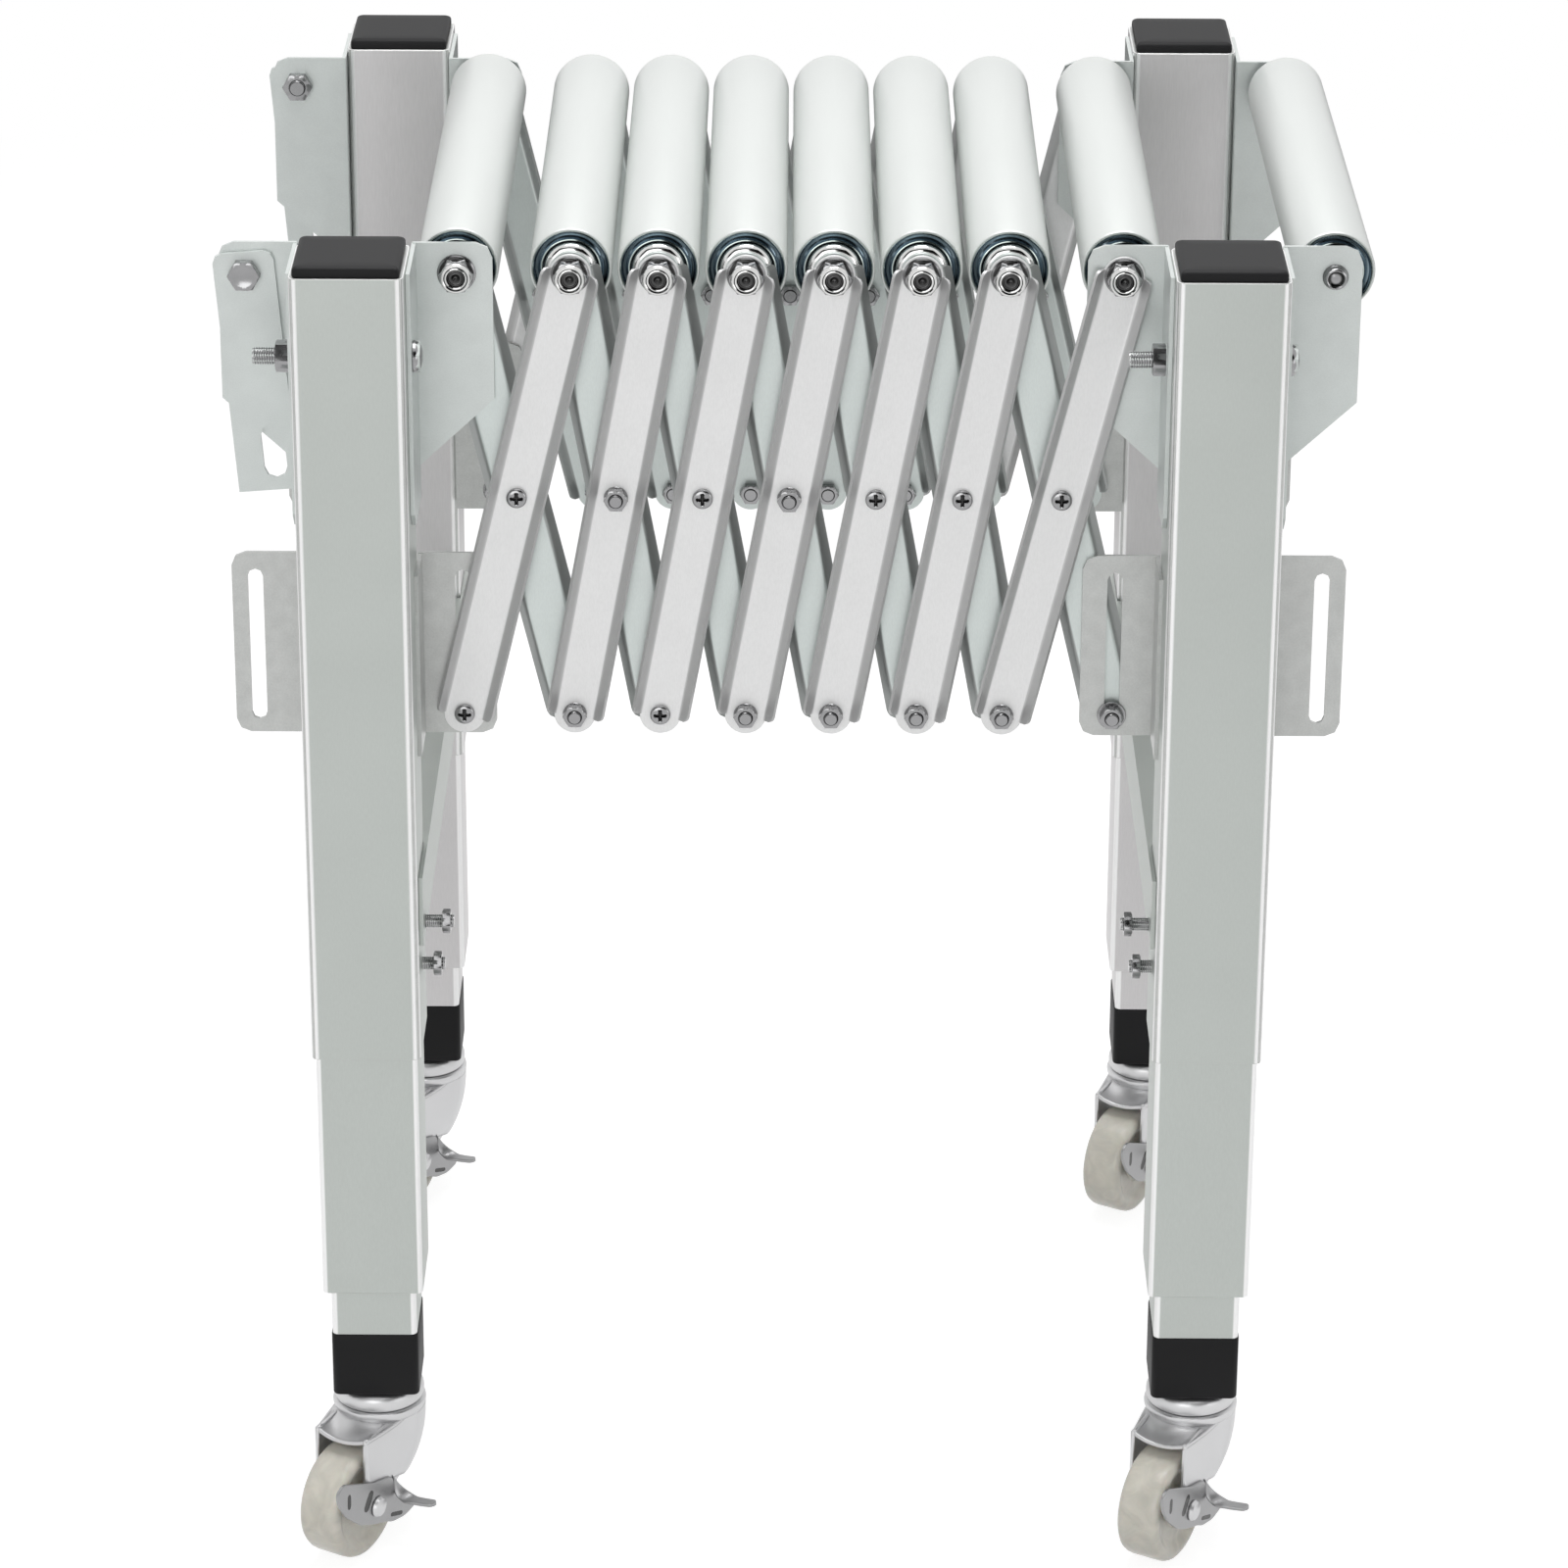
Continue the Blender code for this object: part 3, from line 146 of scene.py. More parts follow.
class ConveyorLooks(PropertyGroup):
    """The finishes of the conveyor."""

    tube_colour: colour("Post colour", "Galvanised tube of the posts and legs", "#C3C8C4")
    plate_colour: colour("Plate colour", "Zinc plated brackets and guide plates", "#D3D8D6")
    arm_colour: colour("Arm colour", "Pressed arms of the scissors", "#ECECEC")
    roller_colour: colour("Roller colour", "Zinc plated tube of the rollers", "#DADDDB")
    wheel_colour: colour("Wheel colour", "Nylon of the caster wheels", "#EAE6DA")
    round_sides: IntProperty(
        name="Round sides", description="Faces round a roller or a wheel", default=72, min=24, max=256
    )


class ConveyorStage(PropertyGroup):
    """The camera of the studio."""

    focal_px: FloatProperty(
        name="Focal length",
        description="Focal length in pixels of the 1600 pixel photograph",
        default=5863,
        min=500,
        max=20000,
    )
    pitch: FloatProperty(
        name="Pitch", description="How far the camera looks down", subtype="ANGLE", default=math.radians(23.207)
    )
    roll: FloatProperty(
        name="Roll", description="Turn about the view axis", subtype="ANGLE", default=math.radians(0.244)
    )
    yaw: FloatProperty(name="Yaw", description="Turn about the vertical", subtype="ANGLE", default=math.radians(0.059))
    distance: FloatProperty(
        name="Distance", description="From the camera to its target", unit="LENGTH", default=3.8099
    )
    target_side: FloatProperty(
        name="Target aside",
        description="Target's distance from the middle of the track along X",
        unit="LENGTH",
        default=-0.0026,
    )
    target_drop: FloatProperty(
        name="Target drop", description="Target's depth below the top of the posts", unit="LENGTH", default=0.4407
    )


# Surfaces


def basis(axis):
    """Two unit vectors square to the axis and to each other, and the axis at unit length."""
    axis = np.asarray(axis, float) / np.linalg.norm(axis)
    first = np.cross(UP if abs(axis[2]) < 0.9 else RIGHT, axis)
    first /= np.linalg.norm(first)
    return first, np.cross(axis, first), axis


def turned(radii, heights, origin, axis, sides):
    """Radius and height, each rows by sides, carried once round an axis: origin + r cos a p + r sin a q + h n."""
    first, second, normal = basis(axis)
    angle = TURN * np.arange(sides) / sides
    radii = np.broadcast_to(np.asarray(radii, float), (len(heights), sides))
    heights = np.broadcast_to(np.asarray(heights, float), (len(heights), sides))
    ring = np.cos(angle)[:, None] * first + np.sin(angle)[:, None] * second
    return np.asarray(origin, float) + radii[..., None] * ring + heights[..., None] * normal


def lathe(profile, origin, axis, sides, loop=False):
    """A profile of (radius, height) turned round an axis, with a mark of 0 to 1 as the third value where a row has
    one. A loop's last row joins its first."""
    marks = np.array([row[2] if len(row) > 2 else 0.0 for row in profile])[:, None]
    profile = np.array([row[:2] for row in profile], float) * MM
    return turned(profile[:, :1], profile[:, 1:], origin, axis, sides), loop, True, marks


def grid_faces(rows, columns, loop_rows, loop_columns):
    """Quads between neighbours of a grid, as one array of corner numbers."""
    i = np.arange(rows if loop_rows else rows - 1)[:, None]
    j = np.arange(columns if loop_columns else columns - 1)[None, :]
    i2, j2 = (i + 1) % rows, (j + 1) % columns
    corners = [i * columns + j, i * columns + j2, i2 * columns + j2, i2 * columns + j]
    return np.stack([np.broadcast_to(c, (i.size, j.size)) for c in corners], -1).reshape(-1, 4)


def make_piece(name, grids, finish, body, stands_for=(), sharp=32, thickness=0.0):
    """One mesh from several grids of points, its doubles merged, its faces turned out, riding on a body and standing
    for CAD nodes. A grid is (points, whether its rows close, whether its columns close) and, where it has a fourth
    entry, a mark from 0 to 1 for each point: how far it takes its finish's marked colour, which gives painted
    highlight and painted shade and also shows dirt, oil and pale ridges."""
    points, faces, bent, base = [], [], [], 0
    for grid, loop_rows, loop_columns, *marks in grids:
        rows, columns = grid.shape[:2]
        points.append(grid.reshape(-1, 3))
        faces.append(grid_faces(rows, columns, loop_rows, loop_columns) + base)
        bent.append(np.broadcast_to(marks[0] if marks else 0.0, (rows, columns)).ravel())
        base += rows * columns
    mesh = bpy.data.meshes.new(name)
    mesh.from_pydata(np.concatenate(points).tolist(), [], np.concatenate(faces).tolist())
    # This attribute holds the marks, painted highlight and painted shade among them.
    mesh.attributes.new("bent", "FLOAT", "POINT").data.foreach_set("value", np.concatenate(bent).astype(np.float32))
    work = bmesh.new()
    work.from_mesh(mesh)
    bmesh.ops.remove_doubles(work, verts=work.verts, dist=2e-6)
    bmesh.ops.dissolve_degenerate(work, edges=work.edges, dist=1e-6)
    bmesh.ops.recalc_face_normals(work, faces=work.faces)
    work.to_mesh(mesh)
    work.free()
    mesh.shade_smooth()
    mesh.set_sharp_from_angle(angle=math.radians(sharp))
    mesh.materials.append(FINISHES[finish])
    piece = bpy.data.objects.new(name, mesh)
    bpy.context.scene.collection.objects.link(piece)
    if thickness:
        wall = piece.modifiers.new("wall", "SOLIDIFY")
        wall.thickness = thickness * MM
        wall.offset = -1
    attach(piece, body)
    if stands_for:
        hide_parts(*stands_for)
    return piece


def aim_outward(piece, inside):
    """Turns an open sheet so that its faces look away from a point inside it."""
    mesh = piece.data
    centres, normals = np.empty(len(mesh.polygons) * 3), np.empty(len(mesh.polygons) * 3)
    mesh.polygons.foreach_get("center", centres)
    mesh.polygons.foreach_get("normal", normals)
    if ((centres.reshape(-1, 3) - inside) * normals.reshape(-1, 3)).sum() < 0:
        mesh.flip_normals()


def hexagon(across, rows, origin, axis, sides=48):
    """A hexagon rounded off by a circle at each row of (limit, height): radius = min(half across / cos of the angle
    from a flat, limit)."""
    flat = np.mod(TURN * np.arange(sides) / sides, TURN / 6) - TURN / 12
    rows = np.asarray(rows, float)
    radii = np.minimum((across / 2 / np.cos(flat))[None, :], rows[:, :1])
    return turned(radii * MM, rows[:, 1:] * MM, origin, axis, sides)


def nut(origin, axis, across, height, bore, seat=0.0):
    """A chamfered nut standing on its seat, with a bore through it. Its corners are cut back at both faces."""
    flat, corner, edge = across / 2, across / 2 / math.cos(math.pi / 6), 0.1 * across
    rows = [
        (bore, seat),
        (flat * 0.97, seat),
        (corner + 1, seat + edge * 0.35),
        (corner + 1, seat + height - edge * 0.42),
        (corner * 0.965, seat + height - edge * 0.2),
        (flat * 0.96, seat + height),
        (bore + 0.6, seat + height),
        (bore, seat + height - 0.6),
    ]
    return hexagon(across, rows, origin, axis), True, True


def bolt_head(origin, axis, across, height):
    """A hexagon head with a broken edge and a shallow round dish in its face."""
    flat, corner = across / 2, across / 2 / math.cos(math.pi / 6)
    rows = [(0, 0), (flat, 0), (corner + 1, 0.3), (corner + 1, height - 0.7), (corner * 0.97, height - 0.3)]
    rows += [(flat * 0.97, height), (flat * 0.72, height), (flat * 0.66, height - 0.25), (0, height - 0.3)]
    return hexagon(across, rows, origin, axis), False, True


def threaded(origin, axis, radius, pitch, low, high, sides=24):
    """A stud: radius less a wave that climbs one pitch each turn, faded out at the end's chamfer."""
    count = max(8, int(round((high - low) / pitch * 5)))
    height = np.linspace(low, high, count)[:, None]
    angle = np.arange(sides)[None, :] / sides
    wave = 0.5 - 0.5 * np.cos(TURN * (height / pitch - angle))
    fade = np.clip((high - height) / pitch, 0, 1)
    radii = radius - 0.28 * pitch * wave * fade - 0.35 * pitch * (1 - fade)
    radii = np.concatenate([np.zeros((1, sides)), radii, np.zeros((1, sides))])
    heights = np.concatenate([[[low]], height, [[high]]])
    return turned(radii * MM, heights * MM, origin, axis, sides), False, True


def cross_head(origin, axis, radius, height, sides=48):
    """A pan head: a dome with a cross sunk in it, the cross marked for dirt and painted shade. Height = dome less
    depth where a point lies in either bar.
    """
    share = np.concatenate([np.linspace(0, 0.92, 12), [1.0, 1.0]])
    angle = TURN * np.arange(sides) / sides
    r = share[:, None] * radius
    x, y = r * np.cos(angle), r * np.sin(angle)

    def slot_share(across, along):
        narrow = np.clip((0.17 * radius - np.abs(across)) / (0.08 * radius), 0, 1)
        return narrow * np.clip((0.62 * radius - np.abs(along)) / (0.12 * radius), 0, 1)

    dome = height * (0.55 + 0.45 * np.sqrt(np.clip(1 - share[:, None] ** 2, 0, 1)))
    cross = np.maximum(slot_share(x, y), slot_share(y, x))
    sunk = dome - 0.62 * height * cross
    sunk[-1] = 0
    foot = np.zeros((1, sides))
    radii = np.concatenate([np.broadcast_to(r, sunk.shape), foot])
    heights = np.concatenate([sunk, foot])
    return turned(radii * MM, heights * MM, origin, axis, sides), False, True, np.concatenate([cross, foot])


def square_ring(half, corner, steps=8):
    """A square outline with round corners, as points in the plane."""
    angle = np.linspace(0, math.pi / 2, steps)
    quarter = np.stack([np.cos(angle), np.sin(angle)], 1) * corner + (half - corner)
    turns = [np.array([[math.cos(t), math.sin(t)], [-math.sin(t), math.cos(t)]]) for t in np.arange(4) * math.pi / 2]
    return np.concatenate([quarter @ turn for turn in turns])


def square_column(rows, centre, loop=False):
    """Rows of (half width, corner radius, height) stacked on a centre: a rounded square tube or cap. It is marked
    round its corners, by a clipped sine of twice the angle, for a painted highlight, and marked on its cut ends too."""
    rings, marks = [], []
    # The share of the painted corner highlight round each quarter of the ring.
    turn = np.clip(2.6 * np.sin(np.linspace(0, math.pi, 8)), 0, 1)
    for index, (half, corner, height) in enumerate(rows):
        outline = square_ring(max(half, 0.001), min(corner, max(half, 0.001) * 0.99)) * MM
        level = np.full((len(outline), 1), height * MM)
        rings.append(np.concatenate([outline, level], 1) + np.asarray(centre, float))
        marks.append(np.maximum(np.tile(turn, 4), loop and index % 4 in (2, 3)))
    return np.stack(rings), loop, True, np.stack(marks)


def square_tube(centre, half, wall, corner, low, high):
    """A square tube with broken edges at both ends, as one closed loop of rings."""
    e = 0.4
    inner, inner_corner = half - wall, max(corner - wall, 1.0)
    outside = [(half, corner, low + e), (half, corner, high - e), (half - e, corner - e, high)]
    inside = [(inner + e, inner_corner + e, high), (inner, inner_corner, high - e), (inner, inner_corner, low + e)]
    end = [(inner + e, inner_corner + e, low), (half - e, corner - e, low)]
    return square_column(outside + inside + end, centre, True)


def rounded(points, radius, steps=5):
    """A closed outline with each corner swapped for a curve between points set back from it by the radius."""
    points = np.asarray(points, float)
    before, after = np.roll(points, 1, 0) - points, np.roll(points, -1, 0) - points
    gap_before = np.linalg.norm(before, axis=1, keepdims=True)
    gap_after = np.linalg.norm(after, axis=1, keepdims=True)
    start = points + before / gap_before * np.minimum(radius, gap_before * 0.49)
    end = points + after / gap_after * np.minimum(radius, gap_after * 0.49)
    t = np.linspace(0, 1, steps)[None, :, None]
    curve = (1 - t) ** 2 * start[:, None] + 2 * t * (1 - t) * points[:, None] + t**2 * end[:, None]
    return curve.reshape(-1, 2)


def inset(outline, amount):
    """The outline moved inwards along its own normals."""
    along = np.roll(outline, -1, 0) - np.roll(outline, 1, 0)
    along /= np.maximum(np.linalg.norm(along, axis=1, keepdims=True), 1e-12)
    normal = np.stack([-along[:, 1], along[:, 0]], 1)
    area = np.sum(outline[:, 0] * np.roll(outline[:, 1], -1) - outline[:, 1] * np.roll(outline[:, 0], -1))
    return outline + normal * amount * np.sign(area)


def sheet_plate(outline, spine, low, high, edge, place):
    """A flat plate: rings from its spine out to the edge, round the edge and back, each outline point to its nearest
    spine point. place turns (across, along, depth) arrays into the row frame."""
    outline = np.asarray(outline, float)
    start, end = np.asarray(spine, float)
    run = end - start
    share = np.clip((outline - start) @ run / max(run @ run, 1e-12), 0, 1)
    middle = start + share[:, None] * run
    small = inset(outline, edge)
    rings = [(middle, low), (small, low), (outline, low + edge), (outline, high - edge), (small, high), (middle, high)]
    return np.stack([place(ring[:, 0], ring[:, 1], np.full(len(ring), depth)) for ring, depth in rings]), False, True


# Materials


def add_node(tree, kind, settings=None, links=None):
    """Adds a shader node, sets its attributes, its sockets by name or number and its ramp's stops, and links its
    inputs, each from an output or from another node's first output."""
    node = tree.nodes.new("ShaderNode" + kind)
    for key, value in (settings or {}).items():
        if key == "stops":
            for stop, (position, tone) in zip(node.color_ramp.elements, value):
                stop.position, stop.color = position, tone
        elif isinstance(key, str) and hasattr(node, key):
            setattr(node, key, value)
        else:
            node.inputs[key].default_value = value
    for key, source in (links or {}).items():
        tree.links.new(source.outputs[0] if isinstance(source, bpy.types.Node) else source, node.inputs[key])
    return node


def new_material(name):
    """An empty node material with its tree, and the object coordinates that its patterns read."""
    made = bpy.data.materials.new(name)
    made.use_nodes = True
    tree = made.node_tree
    tree.nodes.clear()
    return made, tree, add_node(tree, "TexCoord").outputs["Object"]


def close_material(tree, shader):
    """Links a shader to the material's output."""
    add_node(tree, "OutputMaterial", links={"Surface": shader})


def metal(name, base, roughness, metallic, grain_mm, grain, stretch, mottle_mm, mottle, bump, painted_light_and_dirt):
    """A plated or galvanised metal: colour that drifts over the mottle's size, and a grain stretched one way that
    moves its roughness and bump. Where a point is marked it takes the marked colour: a painted highlight on tube
    corners, painted shade on arm flanges, dirt, oil and painted shade in recesses, and pale ridges on bearing seats."""
    made, tree, place = new_material(name)
    mapped = add_node(tree, "Mapping", {"Scale": stretch}, {"Vector": place})
    coarseness = {"Scale": 1 / (grain_mm * MM), "Detail": 3.0}
    fine = add_node(tree, "TexNoise", coarseness, {"Vector": mapped})
    broad = add_node(tree, "TexNoise", {"Scale": 1 / (mottle_mm * MM), "Detail": 4.0}, {"Vector": place})
    stops = [(0.3, opaque(base, 1 - mottle)), (0.7, opaque(base, 1 + mottle))]
    tone = add_node(tree, "ValToRGB", {"stops": stops}, {"Fac": broad})
    speckle = {"From Min": 0.3, "From Max": 0.7, "To Min": 1 - grain, "To Max": 1 + grain}
    speck = add_node(tree, "MapRange", speckle, {"Value": fine})
    multiply = {"data_type": "RGBA", "blend_type": "MULTIPLY", 0: 1.0}
    tinted = add_node(tree, "Mix", multiply, {6: tone, 7: speck})
    # Marked points take the painted light and dirt colour: painted highlight, painted shade, dirt and oil.
    if painted_light_and_dirt:
        mark = add_node(tree, "Attribute", {"attribute_name": "bent"})
        shown = {"data_type": "RGBA", 7: opaque(linear(painted_light_and_dirt))}
        tinted = add_node(tree, "Mix", shown, {0: mark.outputs["Fac"], 6: tinted.outputs[2]})
    low, high = roughness * (1 - 4 * grain), roughness * (1 + 4 * grain)
    spread = {"From Min": 0.25, "From Max": 0.75, "To Min": low, "To Max": high}
    rough = add_node(tree, "MapRange", spread, {"Value": fine})
    rise = add_node(tree, "Bump", {"Strength": bump, "Distance": 0.0002}, {"Height": fine})
    links = {"Base Color": tinted.outputs[2], "Roughness": rough, "Normal": rise}
    close_material(tree, add_node(tree, "BsdfPrincipled", {"Metallic": metallic}, links))
    return made


def moulded(name, base, roughness, grain_mm, bump, shine, vein, scatter):
    """A moulded plastic: fine texture from the tool, and for nylon pale veins and light that goes in a little."""
    made, tree, place = new_material(name)
    fine = add_node(tree, "TexNoise", {"Scale": 1 / (grain_mm * MM), "Detail": 2.0}, {"Vector": place})
    cloud = {"Scale": 55.0, "Detail": 5.0, "Distortion": 1.6}
    broad = add_node(tree, "TexNoise", cloud, {"Vector": place})
    stops = [(0.32, opaque(base, 1 - vein)), (0.68, opaque(base, 1 + vein))]
    tone = add_node(tree, "ValToRGB", {"stops": stops}, {"Fac": broad})
    rise = add_node(tree, "Bump", {"Strength": bump, "Distance": 0.0001}, {"Height": fine})
    body = {"Roughness": roughness, "IOR": 1.5, "Specular IOR Level": shine}
    body.update({"Subsurface Weight": scatter, "Subsurface Scale": 0.004})
    links = {"Base Color": tone, "Normal": rise}
    close_material(tree, add_node(tree, "BsdfPrincipled", body, links))
    return made


FINISHES = {}
EVEN = (1, 1, 1)


def make_finishes(looks):
    """All the finishes of the conveyor, by name. A metal's row is its colour, roughness, metallic share, grain in
    millimetres, grain's strength and stretch, mottle in millimetres, mottle's strength, bump and the colour that its
    marked points take, for painted highlight, painted shade, dirt and oil. A plastic's is its colour, roughness,
    grain in millimetres, bump, shine, vein and scatter."""
    tube, plate, arm = list(looks.tube_colour), list(looks.plate_colour), list(looks.arm_colour)
    # The far legs' tube colour, raised as painted light for the light that the near parts keep off them, and more
    # neutral.
    far_tube_painted_lighter = np.multiply(tube, (1.24, 1.15, 1.21))
    grey_plate = np.multiply(plate, (0.86, 0.83, 0.83))
    grey_arm = np.multiply(arm, (0.8, 0.86, 0.84))
    roller = list(looks.roller_colour)
    metals = {
        # Hot-dip galvanised tube: an even grey-green, with a white painted highlight down its marked corners and white
        # cut ends.
        "galvanised tube": (tube, 0.42, 0.55, 0.9, 0.025, (1, 1, 0.25), 60, 0.015, 0.02, "#FFFFFF"),
        # The far legs' tube: paler, as painted light for the lamp light that the near parts keep off it, and more
        # neutral in tone, with a brushed grain and the same white painted highlight on its corners.
        "painted_lighter galvanised tube": (far_tube_painted_lighter, 0.38, 0.55, 0.7, 0.03, (1, 1, 0.1), 60, 0.02, 0.02, "#FFFFFF"),
        # Zinc plated cold rolled sheet: cooler and brighter than the tube, with a faint spangle.
        "zinc plated sheet": (plate, 0.38, 0.55, 0.8, 0.03, EVEN, 18, 0.03, 0.015, None),
        # Guide plates, greyer and more spangled than the brackets.
        "spangled sheet": (grey_plate, 0.36, 0.6, 1.2, 0.05, EVEN, 9, 0.05, 0.02, None),
        # Pressed arm, clear zinc: matt and light, its marked flanges a darker grey, as painted shade.
        "pressed arm": (arm, 0.42, 0.5, 0.8, 0.03, (1, 1, 0.3), 30, 0.012, 0.015, "#CACACA"),
        # Inner arms read greyer and greener, and their marked flanges take a darker grey still, as painted shade.
        "inner arm": (grey_arm, 0.36, 0.6, 0.8, 0.03, (1, 1, 0.3), 30, 0.02, 0.015, "#A3A6A5"),
        # Bright zinc over drawn tube, polished round the roller.
        "bright roller tube": (roller, 0.4, 0.4, 1.6, 0.006, (1, 0.06, 1), 80, 0.006, 0.004, None),
        # Blue passivated zinc on the bearing seats: dark and glossy, with a blue cast and pale ridges.
        "blue zinc": ("#7F8E97", 0.15, 1.0, 1.2, 0.01, EVEN, 12, 0.05, 0.0, "#B9C2BE"),
        # Nickel plate on hubs, nut collars and spacers: nearly mirror bright, dark in its marked joints and grooves
        # with oil and painted shade.
        "nickel plate": ("#D6D6D5", 0.13, 1.0, 1.0, 0.005, EVEN, 12, 0.02, 0.0, "#2E3234"),
        # Zinc plated nuts, bolts and pins: greyer than nickel, dark in marked recesses and joints with dirt and
        # painted shade.
        "zinc plated bolt": ("#989899", 0.2, 1.0, 1.0, 0.005, EVEN, 12, 0.02, 0.0, "#3A3A3A"),
        # Oiled bare steel in the hollow ends of the axles, its darkness partly painted shade; it also paints the shade
        # of the brake plate's slots.
        "oiled steel": ("#4C4C4C", 0.22, 1.0, 0.8, 0.05, EVEN, 4, 0.1, 0.01, None),
        # Pressed caster forks: satin zinc.
        "satin zinc": ("#CECECF", 0.38, 1.0, 1.0, 0.003, EVEN, 30, 0.01, 0.0, None),
        # Brake levers: darker, duller zinc.
        "dull zinc": ("#A6A6A7", 0.36, 0.8, 0.9, 0.02, EVEN, 12, 0.02, 0.004, None),
    }
    plastics = {
        # Injection moulded polypropylene with a fine spark texture.
        "black plastic": (linear("#232324"), 0.5, 0.7, 0.2, 0.13, 0.0, 0.0),
        # Cast nylon: off-white with cloudy veins and a soft shine.
        "cast nylon": (list(looks.wheel_colour), 0.24, 1.0, 0.02, 0.5, 0.09, 0.1),
    }
    for name, (base, *values) in metals.items():
        FINISHES[name] = metal(name, linear(base) if isinstance(base, str) else base, *values)
    for name, values in plastics.items():
        FINISHES[name] = moulded(name, *values)


# One operator for each group of pieces


class CONVEYOR_OT_finishes(Operator):
    """Makes the finishes and gives the carried-over sheet metal its own"""

    bl_idname = "conveyor.finishes"
    bl_label = "Finishes"

    def execute(self, context):
        make_finishes(context.scene.conveyor_looks)
        sheet = ["near_left_bracket", "far_left_bracket", "right_bracket_pair"]
        table = {
            "zinc plated sheet": sheet + [f"{side}_coupling_link" for side in SIDES],
            "galvanised tube": [f"{end}_cross_rail" for end in ENDS],
            "spangled sheet": [f"{side}_{end}_post" for side, end in CORNERS],
        }
        for finish, names in table.items():
            for name in names:
                NODES[name].data.materials.clear()
                NODES[name].data.materials.append(FINISHES[finish])
        return {"FINISHED"}


ROLLER_END_DEPTH = 20.2


def roller_pieces(index, sides):
    """Tube, bearing seats and hubs of one roller, each a profile turned round its axle. Heights of the seats and hubs
    count from the tube's rim outwards."""
    origin, axis, body = ROLLER_AXES[index - 1], (0, 1, 0), f"roller_{index}"
    rim = INNER_FACE / MM - ROLLER_END_DEPTH
    half = [(25.0, rim - 1.1), (24.8, rim - 0.45), (24.35, rim), (23.9, rim), (23.5, rim - 0.5), (23.5, rim - 6)]
    tube = [(25.0, 1.1 - rim), (25.0, 0.0), *half, *[(r, -h) for r, h in half[:0:-1]]]
    tube_grids = [lathe(tube, origin, axis, sides, True)]
    make_piece(f"{body}_tube", tube_grids, "bright roller tube", body, [body])
    seat = [(15.0, -4.5), (23.7, -4.5), (23.7, -0.6, 1), (23.2, -0.1, 1), (22.6, -0.5, 0.4), (22.2, -1.8)]
    seat += [(21.4, -2.9), (20.0, -3.2), (19.0, -2.6), (18.4, -1.2), (18.1, -0.3, 1), (17.6, -0.1, 1)]
    seat += [(17.2, -0.5, 0.4), (17.0, -1.6), (16.7, -3.0), (15.0, -3.2)]
    # The hub's marked rows, on its back face and in the groove of its dome, take oil and painted shade.
    hub = [(6.3, -4.0, 1), (16.0, -4.0, 1), (16.5, -1.6, 1), (16.4, -0.2), (15.8, 1.4), (14.7, 2.8), (13.3, 3.7)]
    hub += [(12.0, 3.9), (11.0, 3.4), (10.4, 2.6, 1), (9.9, 2.4, 1), (9.4, 3.0, 1), (9.2, 4.4), (8.4, 4.8), (6.3, 4.8)]
    for name, profile, finish in (("seats", seat, "blue zinc"), ("hubs", hub, "nickel plate")):
        ends = [[(r, way * (rim + h), *mark) for r, h, *mark in profile] for way in (-1, 1)]
        grids = [lathe(rows, origin, axis, sides, True) for rows in ends]
        make_piece(f"{body}_{name}", grids, finish, body)


class CONVEYOR_OT_rollers(Operator):
    """Makes the rollers with their bearing seats and domed hubs"""

    bl_idname = "conveyor.rollers"
    bl_label = "Rollers"

    def execute(self, context):
        for index in range(1, ROLLERS + 1):
            roller_pieces(index, context.scene.conveyor_looks.round_sides)
        return {"FINISHED"}


WEB_HALF = 12.8
SHEET_HALF = 0.97
FLANGE_HALF = 17.7
FLANGE_RISE = 5.6
ARM_END = 2.0
RUN_OUT = 5.0
OUTER_WEB = 8.5
INNER_WEB = 13.6
OUTER_SEAT = 7.5
INNER_SEAT = 9.5
AXLE_RADIUS = 6.0
PIN_RADIUS = 4.0
SPACER_RADIUS = 9.0
AXLE_NUT = {"across": 18.6, "height": 7.4, "bore": 6.3, "seat": 1.8}
PIN_NUT = {"across": 13.0, "height": 6.0, "bore": 4.1}
PIN_THREAD = {"radius": PIN_RADIUS, "pitch": 1.25}
# Cells whose middle or foot pins show a nut in front. The others show a cross head.
NUTTED_MIDDLES = (2, 4)
NUTTED_FEET = (2, 4, 5, 6, 7)


def channel_outline(way, reach, thickness=2.0):
    """The cross-section of an arm: a flat web whose edges bend round into sloping flanges, as a closed outline of
    (across, depth), the middle line that its ends close on, and a mark of 1 on the flanges for painted shade. Reach
    is the flanges' share of their full width."""
    t = np.linspace(0, 1, 7)[:, None]
    bend, flat = np.array([WEB_HALF - 0.4, 0.0]), np.array([WEB_HALF - 2.6, 0.0])
    tip = bend + np.array([FLANGE_HALF - WEB_HALF, FLANGE_RISE]) * reach
    knee = bend + (tip - bend) * 0.3
    curve = (1 - t) ** 2 * flat + 2 * t * (1 - t) * bend + t**2 * knee
    half = np.concatenate([[[0.0, 0.0]], curve, [tip]])
    line = np.concatenate([half[::-1] * [-1, 1], half[1:]])
    line[:, 1] *= way
    along = np.gradient(line, axis=0)
    along /= np.linalg.norm(along, axis=1, keepdims=True)
    normal = np.stack([-along[:, 1], along[:, 0]], 1) * thickness / 2
    outline = np.concatenate([line + normal, (line - normal)[::-1]])
    middle = np.concatenate([line, line[::-1]])
    return outline, middle, np.clip((np.abs(middle[:, 0]) - WEB_HALF + 1.2) / 0.6, 0, 1)


